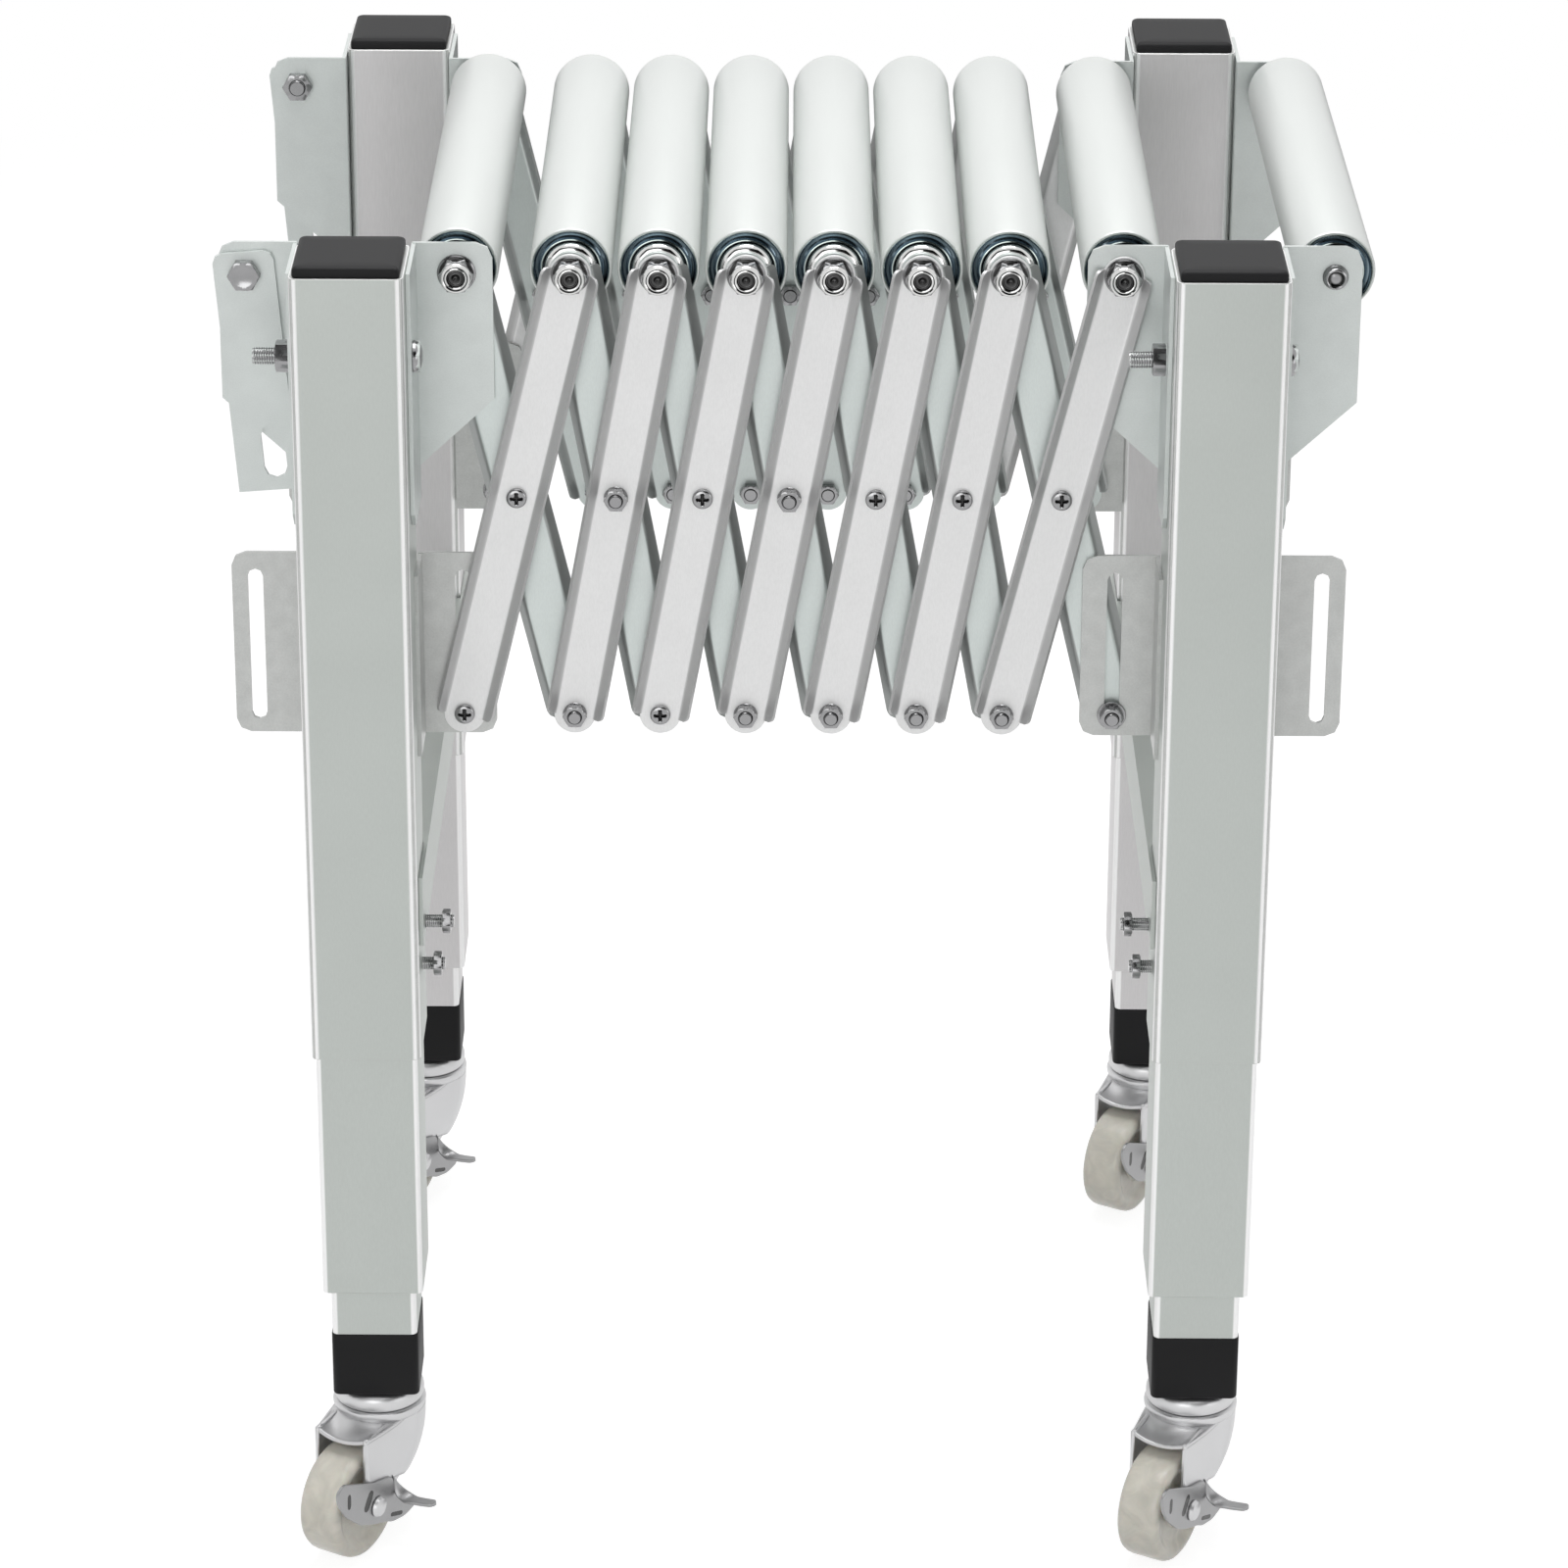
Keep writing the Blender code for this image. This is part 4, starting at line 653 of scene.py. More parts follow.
def arm_grids(side, centre, half_length, top, web_depth, way):
    """One arm: the channel carried along its length and closed on its middle line, and a round tab at each pivot. Its
    flanges run out round at both ends: the last row is the full width, and those before it follow a quarter circle."""
    lean = math.atan2(top[0] - centre[0], top[2] - centre[2])
    along = np.array([math.sin(lean), 0, math.cos(lean)])
    across = np.array([math.cos(lean), 0, -math.sin(lean)])

    def place(x, z, depth):
        spot = centre[None, :] + np.asarray(x)[:, None] * MM * across + np.asarray(z)[:, None] * MM * along
        spot[:, 1] = TRACK_Y + SIDES[side] * (INNER_FACE - np.asarray(depth) * MM)
        return spot

    end, rows = half_length + ARM_END, []
    for back in (0.0, 0.7, 1.8, 3.2, RUN_OUT):
        outline, middle, bent = channel_outline(way, 0.25 + 0.75 * math.sqrt(1 - (1 - back / RUN_OUT) ** 2))
        rows += [(middle, end - back), (middle + (outline - middle) * 0.7, end - back)] if not back else []
        rows.append((outline, end - max(back, 0.35)))
    rows = [(row, -z) for row, z in rows] + rows[::-1]
    channel = np.stack([place(r[:, 0], np.full(len(r), z), web_depth + r[:, 1]) for r, z in rows])
    # The flanges' mark carries the arm finish's painted shade.
    grids = [(channel, False, True, bent[None, :])]
    angle = TURN * np.arange(40) / 40
    for pivot in (-half_length, half_length):
        disc = np.stack([np.cos(angle), np.sin(angle)], 1) * WEB_HALF + [0, pivot]
        spine = [(0, pivot), (0, pivot + 1e-4)]
        grids.append(sheet_plate(disc, spine, web_depth - SHEET_HALF, web_depth + SHEET_HALF, 0.3, place))
    return grids


def flange_nut(side, point, seat):
    """A flanged nut on its seat washer, with dirt and painted shade in the groove between them."""
    origin, axis = beside(side, point, seat), outward(side)
    flange = [(6.2, 0), (11.6, 0), (11.8, 0.4), (11.6, 1.0), (10.8, 1.6), (10.4, 1.9, 1), (9.6, 2.1, 1), (6.2, 2.1, 1)]
    return [lathe(flange, origin, axis, 56, True), nut(origin, axis, **AXLE_NUT)]


def nut_collar(side, point, seat):
    """The crimped round collar on top of a lock nut: two bright beads, dark with oil and painted shade in the joint at
    its foot, between the beads and in its bore.
    """
    rows = [(6.25, 8.4), (9.0, 8.4, 1), (9.1, 9.1, 1), (9.4, 9.5), (9.5, 10.4), (9.2, 11.3), (8.6, 11.9), (7.8, 12.0)]
    rows += [(7.3, 11.7), (7.1, 11.2, 1), (6.9, 11.2, 1), (6.7, 11.6), (6.2, 11.8), (5.7, 11.6), (5.4, 10.9)]
    rows += [(5.35, 10.0, 1), (6.25, 9.4, 1)]
    return lathe(rows, beside(side, point, seat), outward(side), 48, True)


def axle_end(side, point, seat):
    """The hollow end of an axle inside its nut, dark with oil and painted shade."""
    rows = [(0, -2), (6.2, -2), (6.2, 9.2), (5.3, 9.9), (4.9, 10.4), (4.4, 10.5), (4.0, 10.0), (3.3, 9.8)]
    rows += [(2.6, 10.0), (2.2, 9.6), (1.2, 8.4), (0, 7.8)]
    return lathe(rows, beside(side, point, seat), outward(side), 40)


def bar(side, point, radius, start, stop, sides=32):
    """A plain round bar between two depths, with broken edges."""
    length = stop - start
    e = min(0.3, length / 4)
    rows = [(0, 0), (radius - e, 0), (radius, -e), (radius, -length + e), (radius - e, -length), (0, -length)]
    return lathe(rows, beside(side, point, start), outward(side), sides)


def axle(point, start):
    """A bar across the whole track, from a depth on the near side to the same depth on the far side."""
    return bar("near", point, AXLE_RADIUS, start, 2 * INNER_FACE / MM - start)


def pin_grids(side, point, with_nut, washer=False):
    """A pivot pin: its head or nut outside, its spacer between the arms, and its nut behind."""
    origin, axis = beside(side, point, OUTER_SEAT), outward(side)
    grids = [bar(side, point, PIN_RADIUS, 7.6, 21.5)]
    if with_nut:
        grids.append(lathe([(4.2, 0), (7.4, 0), (7.5, 0.5), (7.2, 0.9), (4.2, 0.9)], origin, axis, 40, True))
        grids.append(nut(origin, axis, **{**PIN_NUT, "height": 5.6}, seat=0.8))
        grids.append(threaded(origin, axis, **PIN_THREAD, low=-1.0, high=8.2))
    else:
        grids.append(cross_head(origin, axis, radius=6.3, height=3.6))
    start, stop, behind = (12.6, 14.1, 13.9) if washer else (9.4, 12.35, 14.9)
    grids.append(bar(side, point, SPACER_RADIUS, start, stop))
    grids.append(nut(beside(side, point, behind), -axis, **PIN_NUT))
    return grids


def slot_pin_grids(side, point):
    """The foot pin of the last inner arm: washer and nut in front of the guide plate, head behind the arm."""
    front, axis = beside(side, point, 8.0), outward(side)
    grids = [bar(side, point, PIN_RADIUS, 1.0, 15.5), bar(side, point, SPACER_RADIUS, 8.0, INNER_SEAT)]
    grids.append(nut(front, axis, **PIN_NUT))
    grids.append(threaded(front, axis, **PIN_THREAD, low=0.0, high=8.2))
    grids.append(cross_head(beside(side, point, 14.6), -axis, radius=6.2, height=3.5))
    return grids


def axle_trim(number, point, seat, body):
    """The collars of an axle's two lock nuts and the axle's hollow ends."""
    for name, shape, finish in (("nut_collars", nut_collar, "nickel plate"), ("axle_ends", axle_end, "oiled steel")):
        make_piece(f"{name}_{number}", [shape(side, point, seat) for side in SIDES], finish, body)


def outer_arms(cell, middle, half):
    """The near and far outer arms of one cell with their pins, and the axle with its nuts at their top."""
    top, body = TOP_PIVOTS[cell], f"front_arms_{cell}"
    foot = middle - (top - middle)
    arms, pins = [], []
    for side in SIDES:
        arms += arm_grids(side, middle, half, top, OUTER_WEB, -1)
        pins += pin_grids(side, middle, cell in NUTTED_MIDDLES)
        pins += pin_grids(side, foot, cell in NUTTED_FEET, cell == 1)
        pins += flange_nut(side, top, OUTER_SEAT)
        start, stop = (12.6, 15.0) if cell == CELLS else (9.4, 12.3)
        pins.append(bar(side, top, SPACER_RADIUS, start, stop))
    pins.append(axle(top, 8.0))
    nodes = [f"front_arm_pair_{cell}"]
    make_piece(f"outer_arms_{cell}", arms, "pressed arm", body, nodes, sharp=40)
    make_piece(f"outer_arm_fasteners_{cell}", pins, "zinc plated bolt", body)
    axle_trim(cell + 1, top, OUTER_SEAT, body)


def inner_arms(cell, middle, half):
    """The near and far inner arms of one cell. The first pair has the first axle, the last the pins in the slots."""
    top, body = TOP_PIVOTS[cell - 1], f"back_arms_{cell}"
    foot = middle - (top - middle)
    nodes = ["back_arm_pair_1"] if cell == 1 else [f"{side}_back_arm_{cell}" for side in SIDES]
    arms, pins = [], []
    for side in SIDES:
        arms += arm_grids(side, middle, half, top, INNER_WEB, 1)
        pins += flange_nut(side, top, INNER_SEAT) if cell == 1 else []
        pins += slot_pin_grids(side, foot) if cell == CELLS else []
    make_piece(f"inner_arms_{cell}", arms, "inner arm", body, nodes, sharp=40)
    if cell == 1:
        pins.append(axle(top, 10.0))
        axle_trim(1, top, INNER_SEAT, body)
    if pins:
        make_piece(f"inner_arm_fasteners_{cell}", pins, "zinc plated bolt", body)


class CONVEYOR_OT_arms(Operator):
    """Makes the outer and inner arms of the scissors with their axles, pins and nuts"""

    bl_idname = "conveyor.arms"
    bl_label = "Arms"

    def execute(self, context):
        for cell, middle in enumerate(MID_PIVOTS, 1):
            reach = TOP_PIVOTS[cell] - middle
            half = float(np.hypot(reach[0], reach[2])) / MM
            outer_arms(cell, middle, half)
            inner_arms(cell, middle, half)
        return {"FINISHED"}


SKIN_RISE = 0.1 * MM


def leg_pieces(side, end):
    """The skin of one post, its plastic cap, its two sliding tubes and its plastic foot. The rows of the cap and the
    foot are half width, corner radius and height."""
    leg, centre = f"{side}_{end}", (POST_X[end], POST_Y[side], 0)
    # The far legs take the tube colour raised as painted light.
    tube = "painted_lighter galvanised tube" if side == "far" else "galvanised tube"
    top, low = POST_TOP / MM, FOOT_BOTTOM / MM
    skin_low, skin_high = (POST_BOTTOM - SKIN_RISE) / MM, (POST_TOP + SKIN_RISE) / MM
    skin = square_tube(centre, half=34.12, wall=1.2, corner=5.2, low=skin_low, high=skin_high)
    middle = square_tube(centre, half=31.7, wall=2.0, corner=3.4, low=MID_BOTTOM / MM, high=MID_TOP / MM)
    lower = square_tube(centre, half=27.0, wall=2.0, corner=4.0, low=low + 39, high=FOOT_TOP / MM)
    cap = [(28.0, 2, -3), (31.4, 1.6, 0.05), (31.7, 2.2, 0.5), (31.9, 2.4, 1.4), (31.8, 2.4, 4.2), (31.4, 2.6, 5.2)]
    cap += [(30.6, 2.6, 6.0), (29.6, 2.6, 6.5), (28.2, 2.4, 6.75), (20.0, 2.0, 6.75), (0, 0, 6.75)]
    foot = [(0, 0, 0), (26.2, 3.4, 0), (27.1, 4.0, 0.4), (27.6, 4.4, 1.3), (27.6, 4.4, 43.2), (27.3, 4.2, 43.8)]
    foot += [(26.9, 4.0, 44.0), (0, 0, 44.0)]
    cap_grid = square_column([(half, corner, top + z) for half, corner, z in cap], centre)
    foot_grid = square_column([(half, corner, low + z) for half, corner, z in foot], centre)
    frame_body, foot_body = f"{end}_frame", f"{leg}_foot"
    make_piece(f"{leg}_post_skin", [skin], tube, frame_body)
    make_piece(f"{leg}_post_cap", [cap_grid], "black plastic", frame_body, sharp=50)
    make_piece(f"{leg}_middle_tube", [middle], tube, f"{leg}_mid", [f"{leg}_mid_tube"])
    make_piece(f"{leg}_lower_tube", [lower], tube, foot_body, [f"{leg}_foot_tube"])
    make_piece(f"{leg}_plastic_foot", [foot_grid], "black plastic", foot_body, sharp=50)


class CONVEYOR_OT_legs(Operator):
    """Makes the smooth skins of the posts, the sliding tubes, the plastic caps and the plastic feet"""

    bl_idname = "conveyor.legs"
    bl_label = "Posts and legs"

    def execute(self, context):
        for side, end in CORNERS:
            leg_pieces(side, end)
        return {"FINISHED"}


def caster_place(side, end, drop=0.0, trail=0.0):
    """A function that turns (trail, lateral, height) arrays in millimetres of one caster into the row frame."""
    origin = np.array([POST_X[end], POST_Y[side], FOOT_BOTTOM])

    def place(x, y, z):
        x, y, z = np.broadcast_arrays(np.asarray(x, float) + trail, np.asarray(y, float), np.asarray(z, float) - drop)
        return origin + MM * (x[..., None] * TRAIL_WAY + y[..., None] * LATERAL + z[..., None] * UP)

    return place


def upright(place):
    """A caster's place for a plate on edge, whose outline is (trail, height) and whose depth is lateral."""
    return lambda x, z, y: place(x, y, z)


FORK_HALF = 19.5
FORK_SHEET = 2.5
CROWN_FOOT = -20.0
HORN_DROP = 44.0
ROOF_HEIGHT = -19.6
ROOF_FALL = 2.8
FRONT_EDGE = 45.3
SKIN_GAP = 0.15


def horn(z):
    """The centre and radius of the fork's rounded back at a height. Both run from the crown's rim down to the cheeks'
    foot: centre by the drop's share squared, radius by one less the share to the power 2.5."""
    share = np.clip((CROWN_FOOT - z) / HORN_DROP, 0, 1)
    return -2.0 + 8.0 * share**2, FORK_HALF + 2.0 + 7.0 * (1 - share**2.5)


def fork_back(place):
    """The skin from one cheek's front edge round the back to the other. Bow is 1 at an edge and 0 where the round
    starts, and between them the skin runs straight and flares by the cube of one less the bow."""
    straight = np.linspace(1, 0, 13)[:-1]
    bow = np.concatenate([straight, np.zeros(33), straight[::-1]])[None, :]
    turn = np.linspace(math.pi / 2, 3 * math.pi / 2, 33)
    angle = np.concatenate([np.full(12, math.pi / 2), turn, np.full(12, 3 * math.pi / 2)])[None, :]
    highest = ROOF_HEIGHT - ROOF_FALL * bow
    lowest = -46.0 - 18.0 * np.sin(angle) ** 2 * (1 - 0.35 * bow)
    z = highest + (lowest - highest) * np.linspace(0, 1, 22)[:, None]
    centre, radius = horn(z)
    x = (centre + radius * np.cos(angle)) * (1 - bow) + FRONT_EDGE * bow
    y = np.sin(angle) * (FORK_HALF + SKIN_GAP + (radius - FORK_HALF - SKIN_GAP) * (1 - bow) ** 3)
    return [(place(x, y, z), False, False)]


def fork_roof(place):
    """The dished roof, from an arc under the crown out to the front edge: its height falls evenly on the way forward,
    less a valley that is deepest midway across, and turns up at the lip."""
    across = np.linspace(-1, 1, 29)[None, :]
    forward = np.linspace(0, 1, 22)[:, None]
    start = 26.4 * across
    y = start + (19.0 * across - start) * forward
    x = np.sqrt(27.0**2 - start**2)
    x = x + (46.0 - 1.4 * across**2 - x) * forward
    valley = 4.4 * (1 - across**2) * forward**0.8
    valley = valley + 1.0 * (1 - across**4) * np.sin(np.pi * np.clip(forward / 0.9, 0, 1))
    lip = 1.1 * (1 - across**4) * np.clip((forward - 0.86) / 0.14, 0, 1) ** 2
    return [(place(x, y, ROOF_HEIGHT - ROOF_FALL * forward - valley + lip), False, False)]


def fork_pieces(side, end):
    """Crown, sloping roof, rounded back and two cheeks of one caster fork, with its race and its axle."""
    leg, place = f"{side}_{end}", caster_place(side, end)
    body = f"{leg}_fork"
    drop, trail = CASTER_DROP / MM, CASTER_TRAIL / MM
    origin, wheel_axis = place(0, 0, 0), place(trail, 0, -drop)
    crown = [(6.3, -13.2), (26.0, -13.2), (28.6, -13.4), (29.7, -14.2), (30.0, -15.6), (29.8, -17.4), (29.0, -19.2)]
    crown += [(27.6, -20.6), (25.6, -21.6), (22.8, -22.0), (20.0, -20.8), (6.3, -16.6)]
    boss = [(trail + 9.0 * math.cos(a), -drop + 9.0 * math.sin(a)) for a in np.linspace(-2.75, -0.1, 9)]
    rear = [(float(horn(z)[0]), z) for z in (CROWN_FOOT, -30.0, -40.0, -50.0, -58.0, -64.0)]
    outline = rear + [(18.0, -70.5)] + boss + [(46.6, -60.0), (46.2, -42.0), (45.4, -22.6), (24.0, -20.6)]
    outline, spine = rounded(outline, 4.0, 3), [(8, -24), (trail, -drop + 2)]
    shell = [lathe(crown, origin, UP, 64, True)]
    for low, high in ((-FORK_HALF, FORK_SHEET - FORK_HALF), (FORK_HALF - FORK_SHEET, FORK_HALF)):
        shell.append(sheet_plate(outline, spine, low, high, 0.5, upright(place)))
    for name, grids, inside in (("back", fork_back(place), (15, 0, -35)), ("roof", fork_roof(place), (20, 0, -60))):
        sheet = make_piece(f"{leg}_fork_{name}", grids, "satin zinc", body, thickness=FORK_SHEET)
        aim_outward(sheet, place(*inside))
    make_piece(f"{leg}_fork", shell, "satin zinc", body, stands_for=[f"{leg}_caster_fork"], sharp=40)
    head = 22.6
    rivet = [(0, head - 3), (5, head - 3), (5, head), (6.8, head), (6.9, head + 0.8), (5.9, head + 2.6)]
    rivet += [(3.4, head + 3.7), (0, head + 4.0)]
    tail = [(0, -17), (5, -17), (5, -19.5), (7.4, -19.5), (7.5, -20.2), (6.2, -21.6), (3.6, -22.4), (0, -22.6)]
    shank = [(0, -19), (5.0, -19), (5.0, head - 1), (0, head - 1)]
    pins = [lathe(rows, wheel_axis, LATERAL, 40) for rows in (rivet, tail, shank)]
    make_piece(f"{leg}_caster_axle", pins, "satin zinc", body)
    race = [(0, 0.1), (20.0, 0.1), (22.0, -0.4), (24.0, -1.2), (26.2, -2.2), (27.8, -3.6), (28.7, -5.6), (28.9, -8.0)]
    race += [(28.8, -10.4), (28.3, -12.0), (27.2, -12.9), (0, -13.0)]
    kingpin = [(0, -6), (6, -6), (6, -16.6), (8.6, -17.0), (9, -17.5), (8.4, -19.0), (6, -19.6), (0, -19.6)]
    swivel = [lathe(race, origin, UP, 64), lathe(kingpin, origin, UP, 40)]
    make_piece(f"{leg}_swivel_race", swivel, "satin zinc", f"{leg}_foot")


def brake_pedal(place):
    """The pedal leaves the plate upright, at a fold, and turns flat as it runs out: its height falls by an
    exponential, and its width shrinks to a round end."""
    t = np.linspace(0, 1, 24)[:, None]
    u = np.linspace(-1, 1, 11)[None, :]
    lie = 0.5 * math.pi * np.clip(t / 0.5, 0, 1) ** 0.8
    width = (4.2 - 0.9 * t) * np.sqrt(np.clip(1 - ((t - 0.9) / 0.1).clip(0, 1) ** 2 * 0.9, 0, 1))
    x = -19.6 - 5.4 * t - u * width * np.sin(lie)
    z = -2.7 + 11.3 * np.exp(-6.5 * t) + 1.2 * t**2 + u * width * np.cos(lie)
    return [(place(x, 21.0 + 29.0 * t, z), False, False)]


# Middle (trail, height), turn in radians, half length and half width of each slot.
BRAKE_SLOTS = ((31.4, 18.5, 1.6, 5.4, 2.0), (-21.4, -16.2, 0.35, 7.2, 1.5), (9.6, 8.2, 2.18, 7.4, 3.1))


def brake_pieces(side, end):
    """The brake lever: a lobed plate on the fork's cheek, dark sheets of painted shade where its slots are, and a foot
    pedal curled out of its edge.
    """
    leg = f"{side}_{end}"
    body, place = f"{leg}_brake", caster_place(side, end, CASTER_DROP / MM, CASTER_TRAIL / MM)
    outline = [(42, 20), (44, 29), (37, 33.5), (22, 27), (2, 17.5), (-12, 14.6), (-18.6, 12.6), (-20.5, 4), (-33, -7)]
    outline += [(-44, -14), (-43.6, -20.5), (-31, -22.8), (-17, -20.3), (-9, -16), (2, -12.5), (19, -5), (35, 9)]
    outline = rounded(outline, 3.6, 5)
    plate = [sheet_plate(outline, [(-28, -8), (24, 14)], 19.85, 22.2, 0.5, upright(place))]
    make_piece(f"{leg}_brake_plate", plate, "dull zinc", body, [f"{leg}_brake_lever"], sharp=40)
    pedal = make_piece(f"{leg}_brake_pedal", brake_pedal(place), "dull zinc", body, thickness=2.2)
    aim_outward(pedal, place(-25, 35, -40))
    # The slots are not cut through: a thin dark sheet on the plate's face paints each slot's shade.
    slots = []
    for cx, cz, tilt, long, wide in BRAKE_SLOTS:
        corners = np.array([(-long, -wide), (long, -wide), (long, wide), (-long, wide)])
        turn = np.array([[math.cos(tilt), math.sin(tilt)], [-math.sin(tilt), math.cos(tilt)]])
        ring = rounded(corners, 1.6 * wide, 4) @ turn + (cx, cz)
        slots.append(sheet_plate(ring, [(cx, cz), (cx + 0.01, cz)], 21.8, 22.28, 0.1, upright(place)))
    make_piece(f"{leg}_brake_slot_shade", slots, "oiled steel", body)


def wheel_piece(side, end, sides):
    """The nylon wheel: dished sides, round shoulders and a flat tread, turned round the caster's axle."""
    leg = f"{side}_{end}"
    middle = caster_place(side, end)(CASTER_TRAIL / MM, 0, -CASTER_DROP / MM)
    half = [(5.3, 14.5), (11.6, 14.5), (12.6, 14.0), (13.6, 12.2), (15.0, 11.2), (23.0, 10.9), (26.0, 11.6)]
    half += [(28.4, 13.4), (30.2, 14.4), (32.0, 14.5), (34.2, 14.1), (35.8, 13.0), (36.7, 11.2), (37.0, 8.8)]
    half.append((37.02, 4.0))
    rows = half + [(r, -h) for r, h in reversed(half)]
    grids = [lathe(rows, middle, LATERAL, sides, True)]
    make_piece(f"{leg}_wheel", grids, "cast nylon", f"{leg}_wheel", [f"{leg}_caster_wheel"])


class CONVEYOR_OT_casters(Operator):
    """Makes the caster forks, races, wheels and brake levers"""

    bl_idname = "conveyor.casters"
    bl_label = "Casters"

    def execute(self, context):
        for side, end in CORNERS:
            fork_pieces(side, end)
            wheel_piece(side, end, context.scene.conveyor_looks.round_sides)
            brake_pieces(side, end)
        return {"FINISHED"}


BRACKET_BOLT_DROP = 59 * MM
BRACKET_FACE = 36.8 * MM
M10_THREAD = {"radius": 5.15, "pitch": 1.5}
M8_THREAD = {"radius": 4.15, "pitch": 1.25}
LOCK_STUD_HEIGHT = 80 * MM
LOCK_STUD_GAP = 29 * MM


def bracket_bolts(side, end):
    """The bolt that clamps a post's brackets, with its nut on the left and its dome on the right, and the two lock
    studs near the post's foot."""
    way = -ENDS[end] * RIGHT
    bolt = np.array([POST_X[end], POST_Y[side], POST_TOP - BRACKET_BOLT_DROP])
    left_face, right_face = bolt - BRACKET_FACE * RIGHT, bolt + BRACKET_FACE * RIGHT
    dome = [(0, -0.2), (9.2, -0.2), (9.8, 0.4), (9.7, 1.6), (8.8, 3.4), (6.6, 4.9), (3.4, 5.7), (0, 5.9)]
    grids = [nut(left_face, -RIGHT, across=17.2, height=8.6, bore=5.1)]
    grids.append(threaded(left_face, -RIGHT, **M10_THREAD, low=5.0, high=22.3))
    grids.append(lathe(dome, right_face, RIGHT, 48))
    upper = np.array([POST_X[end] + way[0] * POST_HALF, POST_Y[side], POST_BOTTOM + LOCK_STUD_HEIGHT])
    for index, reach in enumerate((20.0, 14.0)):
        spot = upper - index * LOCK_STUD_GAP * UP
        grids.append(threaded(spot, way, **M8_THREAD, low=0.5, high=reach + 0.4))
        grids.append(nut(spot, way, across=13.2, height=5.2, bore=4.1, seat=reach - 6.8))
    make_piece(f"{side}_{end}_bracket_bolts", grids, "zinc plated bolt", f"{end}_frame")


def link_bolt(side):
    """The bolt that a coupling link turns on, with its head outside and its nut behind the bracket."""
    head, back, axis = beside(side, LINK_AXIS, 6.2), beside(side, LINK_AXIS, 12.3), outward(side)
    grids = [bolt_head(head, axis, across=17.3, height=6.2), nut(back, -axis, across=17.3, height=6.3, bore=5.0)]
    grids.append(threaded(back, -axis, radius=5.05, pitch=1.5, low=-1.0, high=8.4))
    make_piece(f"{side}_link_bolt", grids, "zinc plated bolt", "left_frame")


def last_axle(side):
    """The riveted end of the last roller's axle outside its bracket, and its spacer inside."""
    last = ROLLER_AXES[-1]
    # The rivet's foot and its hollow are marked for dirt and painted shade.
    rivet = [(6.1, 0, 1), (7.6, 0, 1), (7.8, 0.7, 1), (7.5, 1.2), (7.0, 2.0), (6.9, 4.2), (6.4, 5.0), (5.6, 5.3)]
    rivet += [(5.0, 5.0), (4.6, 4.2, 1), (3.6, 3.6, 1), (2.4, 3.9), (0, 4.2)]
    grids = [lathe(rivet, beside(side, last, 9.8), outward(side), 40)]
    make_piece(f"{side}_last_axle_end", grids, "zinc plated bolt", "right_frame")
    grids = [bar(side, last, SPACER_RADIUS, 12.2, 15.1), bar(side, last, 6.1, 12.4, 30.0)]
    make_piece(f"{side}_last_axle_spacer", grids, "nickel plate", "right_frame")


class CONVEYOR_OT_fasteners(Operator):
    """Makes the bolts, nuts and threaded ends on the brackets, the posts and the coupling links"""

    bl_idname = "conveyor.fasteners"
    bl_label = "Bracket fasteners"

    def execute(self, context):
        for side in SIDES:
            for end in ENDS:
                bracket_bolts(side, end)
            link_bolt(side)
            last_axle(side)
        return {"FINISHED"}


PHOTO_PIXELS = 1600
SENSOR_MM = 36
FELT_REACH = 5.2
FLOOR_REACH = 12.0
WHITE = (1, 1, 1, 1)


def staged(name, points, faces, made):
    """A piece of the studio from its points and faces, in one material."""
    mesh = bpy.data.meshes.new(name)
    mesh.from_pydata(points, [], faces)
    mesh.materials.append(made)
    piece = bpy.data.objects.new(name, mesh)
    bpy.context.scene.collection.objects.link(piece)
    return piece


def seen_rays(tree):
    """1 for the rays that show the background: the camera's own, those off metal and those through clear things."""
    path = add_node(tree, "LightPath")
    links = {0: path.outputs["Is Camera Ray"], 1: path.outputs["Is Glossy Ray"]}
    seen = add_node(tree, "Math", {"operation": "MAXIMUM"}, links)
    links = {0: seen, 1: path.outputs["Is Transmission Ray"]}
    return add_node(tree, "Math", {"operation": "MAXIMUM"}, links)


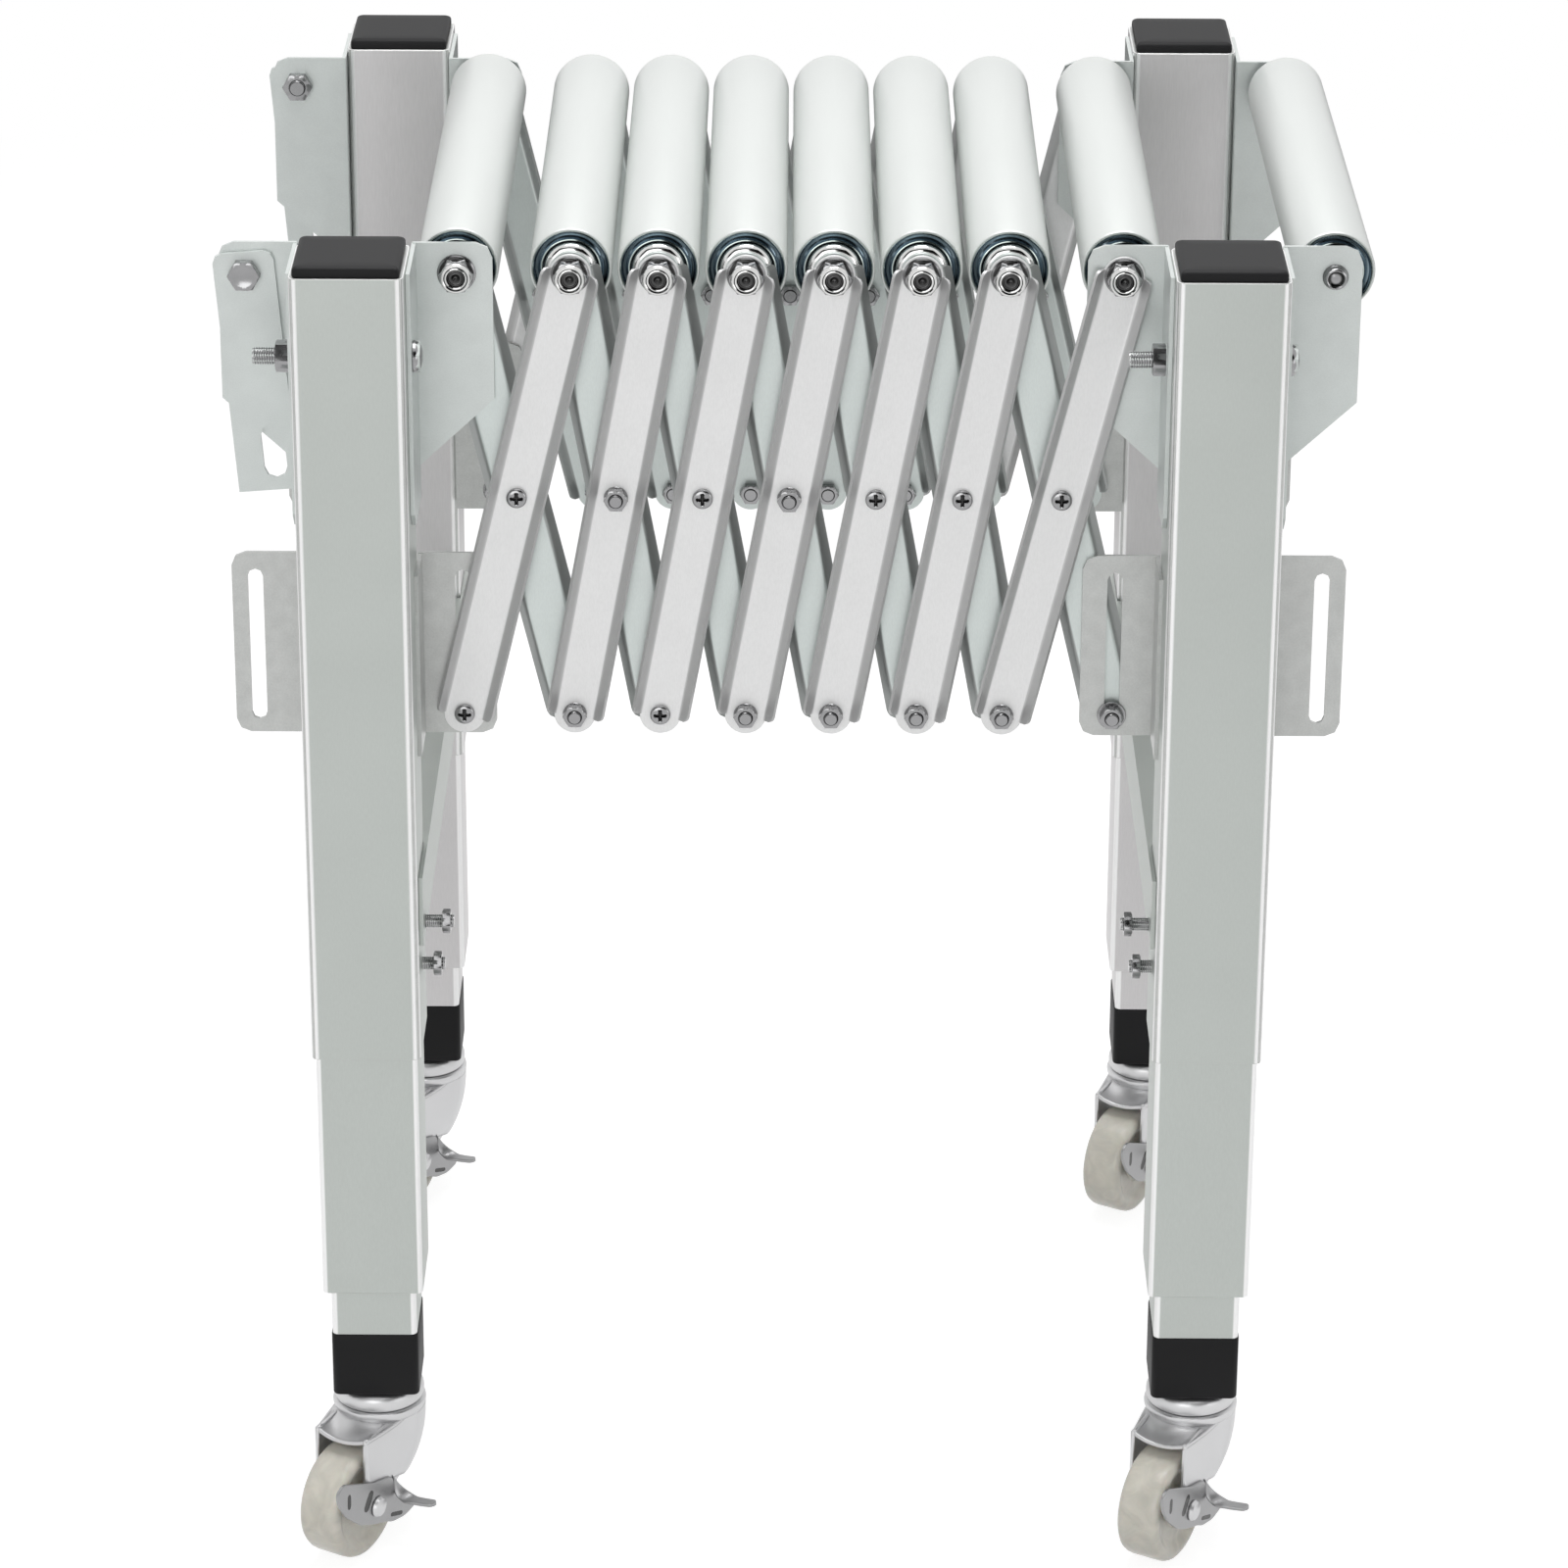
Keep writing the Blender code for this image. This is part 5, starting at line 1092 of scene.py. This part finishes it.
class CONVEYOR_OT_stage(Operator):
    """Makes the camera, the floor, the lamps and the world"""

    bl_idname = "conveyor.stage"
    bl_label = "Stage"

    def execute(self, context):
        context.scene.view_settings.view_transform = "Standard"
        self.camera(context)
        self.floor()
        self.cards()
        self.lamps(context)
        self.world(context)
        return {"FINISHED"}

    def camera(self, context):
        """The camera looks at its target along its pitch and yaw, and its picture is turned by its roll."""
        stage = context.scene.conveyor_stage
        spin = Matrix.Rotation(stage.yaw, 3, "Z")
        right, forward = Vector((1, 0, 0)), Vector((0, math.cos(stage.pitch), -math.sin(stage.pitch)))
        up = right.cross(forward)
        side = spin @ (math.cos(stage.roll) * right + math.sin(stage.roll) * up)
        top = spin @ (-math.sin(stage.roll) * right + math.cos(stage.roll) * up)
        ahead = spin @ forward
        middle_x = (POST_X["left"] + POST_X["right"]) / 2
        target = Vector((middle_x + stage.target_side, TRACK_Y, POST_TOP - stage.target_drop))
        data = bpy.data.cameras.new("camera")
        data.sensor_width = SENSOR_MM
        data.lens = SENSOR_MM * stage.focal_px / PHOTO_PIXELS
        data.clip_end = 50
        camera = bpy.data.objects.new("camera", data)
        turn = Matrix((side, top, -ahead)).transposed().to_4x4()
        camera.matrix_world = Matrix.Translation(target - ahead * stage.distance) @ turn
        context.scene.collection.objects.link(camera)
        context.scene.camera = camera

    def floor(self):
        """A plain white floor that the camera sees as white and that keeps the conveyor's shadow. From 1.3 m out to
        3 m it fades to pure white, so that no horizon shows."""
        made, tree, place = new_material("white studio floor")
        paper = add_node(tree, "BsdfDiffuse", {"Color": opaque(linear("#CBCBCB"))})
        shaded = add_node(tree, "BsdfDiffuse", {"Color": opaque(linear("#959595"))})
        glow = add_node(tree, "Emission", {"Color": WHITE, "Strength": 0.86})
        lit = add_node(tree, "AddShader", links={0: shaded, 1: glow})
        away = add_node(tree, "VectorMath", {"operation": "LENGTH"}, {0: place})
        far = add_node(tree, "MapRange", {"From Min": 1.3, "From Max": 3.0}, {"Value": away.outputs["Value"]})
        white = add_node(tree, "Emission", {"Color": WHITE, "Strength": 1.0})
        seen = add_node(tree, "MixShader", links={0: far, 1: lit, 2: white})
        links = {0: seen_rays(tree), 1: paper, 2: seen}
        close_material(tree, add_node(tree, "MixShader", links=links))
        corners = [(x * FLOOR_REACH, y * FLOOR_REACH, 0) for x, y in ((-1, -1), (1, -1), (1, 1), (-1, 1))]
        staged("floor", corners, [(0, 1, 2, 3)], made)

    def cards(self):
        """Two dark cards, as a studio sets them, which only shiny metal shows: one high round the front and one flat
        behind. The first bends: x = reach sin(side), y = -reach cos(side), z = rise."""
        made, tree, _ = new_material("black felt")
        close_material(tree, add_node(tree, "BsdfDiffuse", {"Color": opaque(linear("#191919"))}))
        side = np.linspace(-1.0, 1.0, 13)[None, :]
        rise = np.linspace(1.9, 6.8, 5)[:, None]
        bent = np.stack(np.broadcast_arrays(FELT_REACH * np.sin(side), -FELT_REACH * np.cos(side), rise), -1)
        flat = np.stack(np.broadcast_arrays(3.0 * side, np.linspace(1.7, 6.0, 5)[:, None], 0.004), -1)
        for name, points in (("front_card", bent), ("floor_card", flat)):
            card = staged(name, points.reshape(-1, 3).tolist(), grid_faces(5, 13, False, False).tolist(), made)
            card.visible_camera = card.visible_diffuse = card.visible_shadow = card.visible_transmission = False

    def lamps(self, context):
        """Wide soft lamps: one overhead, one in front, and weaker ones from the right and from behind. The one behind
        stays out of reflections, so that it draws no streak down the rollers."""
        table = {
            "overhead lamp": ((0.0, 0.2, 2.9), 1.4, 40.0),
            "front lamp": ((-0.9, -3.4, 1.75), 2.2, 32.0),
            "right lamp": ((2.6, -2.4, 1.2), 1.4, 8.0),
            "back lamp": ((0.6, 3.6, 1.4), 1.6, 14.0),
        }
        aim = Vector((0, 0, 0.5))
        for name, (spot, size, watts) in table.items():
            data = bpy.data.lights.new(name, "AREA")
            data.shape, data.size, data.energy = "SQUARE", size, watts
            lamp = bpy.data.objects.new(name, data)
            lamp.location = spot
            lamp.rotation_euler = (aim - Vector(spot)).to_track_quat("-Z", "Y").to_euler()
            lamp.visible_glossy = name != "back lamp"
            context.scene.collection.objects.link(lamp)

    def world(self, context):
        """White for the camera. For the rest a studio: bright above, greyer towards the horizon."""
        world = bpy.data.worlds.new("studio")
        world.use_nodes = True
        tree = world.node_tree
        tree.nodes.clear()
        place = add_node(tree, "TexCoord")
        split = add_node(tree, "SeparateXYZ", links={0: place.outputs["Generated"]})
        stops = [(0.0, opaque(linear("#BCBDBD"))), (0.75, opaque(linear("#F9F9F9")))]
        tone = add_node(tree, "ValToRGB", {"stops": stops}, {"Fac": split.outputs["Z"]})
        soft = add_node(tree, "Background", {"Strength": 0.38}, {"Color": tone})
        white = add_node(tree, "Background", {"Color": WHITE, "Strength": 1.0})
        links = {0: seen_rays(tree), 1: soft, 2: white}
        mix = add_node(tree, "MixShader", links=links)
        add_node(tree, "OutputWorld", links={"Surface": mix})
        context.scene.world = world


# Panel and registration


STEPS = ("finishes", "rollers", "arms", "legs", "casters", "fasteners", "stage")


class CONVEYOR_PT_sidebar(Panel):
    """Lists the steps that dress the conveyor"""

    bl_label = "Conveyor"
    bl_space_type = "VIEW_3D"
    bl_region_type = "UI"
    bl_category = "Conveyor"

    def draw(self, context):
        for step in STEPS:
            self.layout.operator(f"conveyor.{step}")
        for group in (context.scene.conveyor_looks, context.scene.conveyor_stage):
            for name in group.__annotations__:
                self.layout.prop(group, name)


CLASSES = (
    ConveyorLooks,
    ConveyorStage,
    CONVEYOR_OT_finishes,
    CONVEYOR_OT_rollers,
    CONVEYOR_OT_arms,
    CONVEYOR_OT_legs,
    CONVEYOR_OT_casters,
    CONVEYOR_OT_fasteners,
    CONVEYOR_OT_stage,
    CONVEYOR_PT_sidebar,
)


def register():
    for made in CLASSES:
        bpy.utils.register_class(made)
    bpy.types.Scene.conveyor_looks = PointerProperty(type=ConveyorLooks)
    bpy.types.Scene.conveyor_stage = PointerProperty(type=ConveyorStage)


def unregister():
    del bpy.types.Scene.conveyor_stage
    del bpy.types.Scene.conveyor_looks
    for made in reversed(CLASSES):
        bpy.utils.unregister_class(made)


def main():
    register()
    for step in STEPS:
        getattr(bpy.ops.conveyor, step)()


if __name__ == "__main__":
    main()
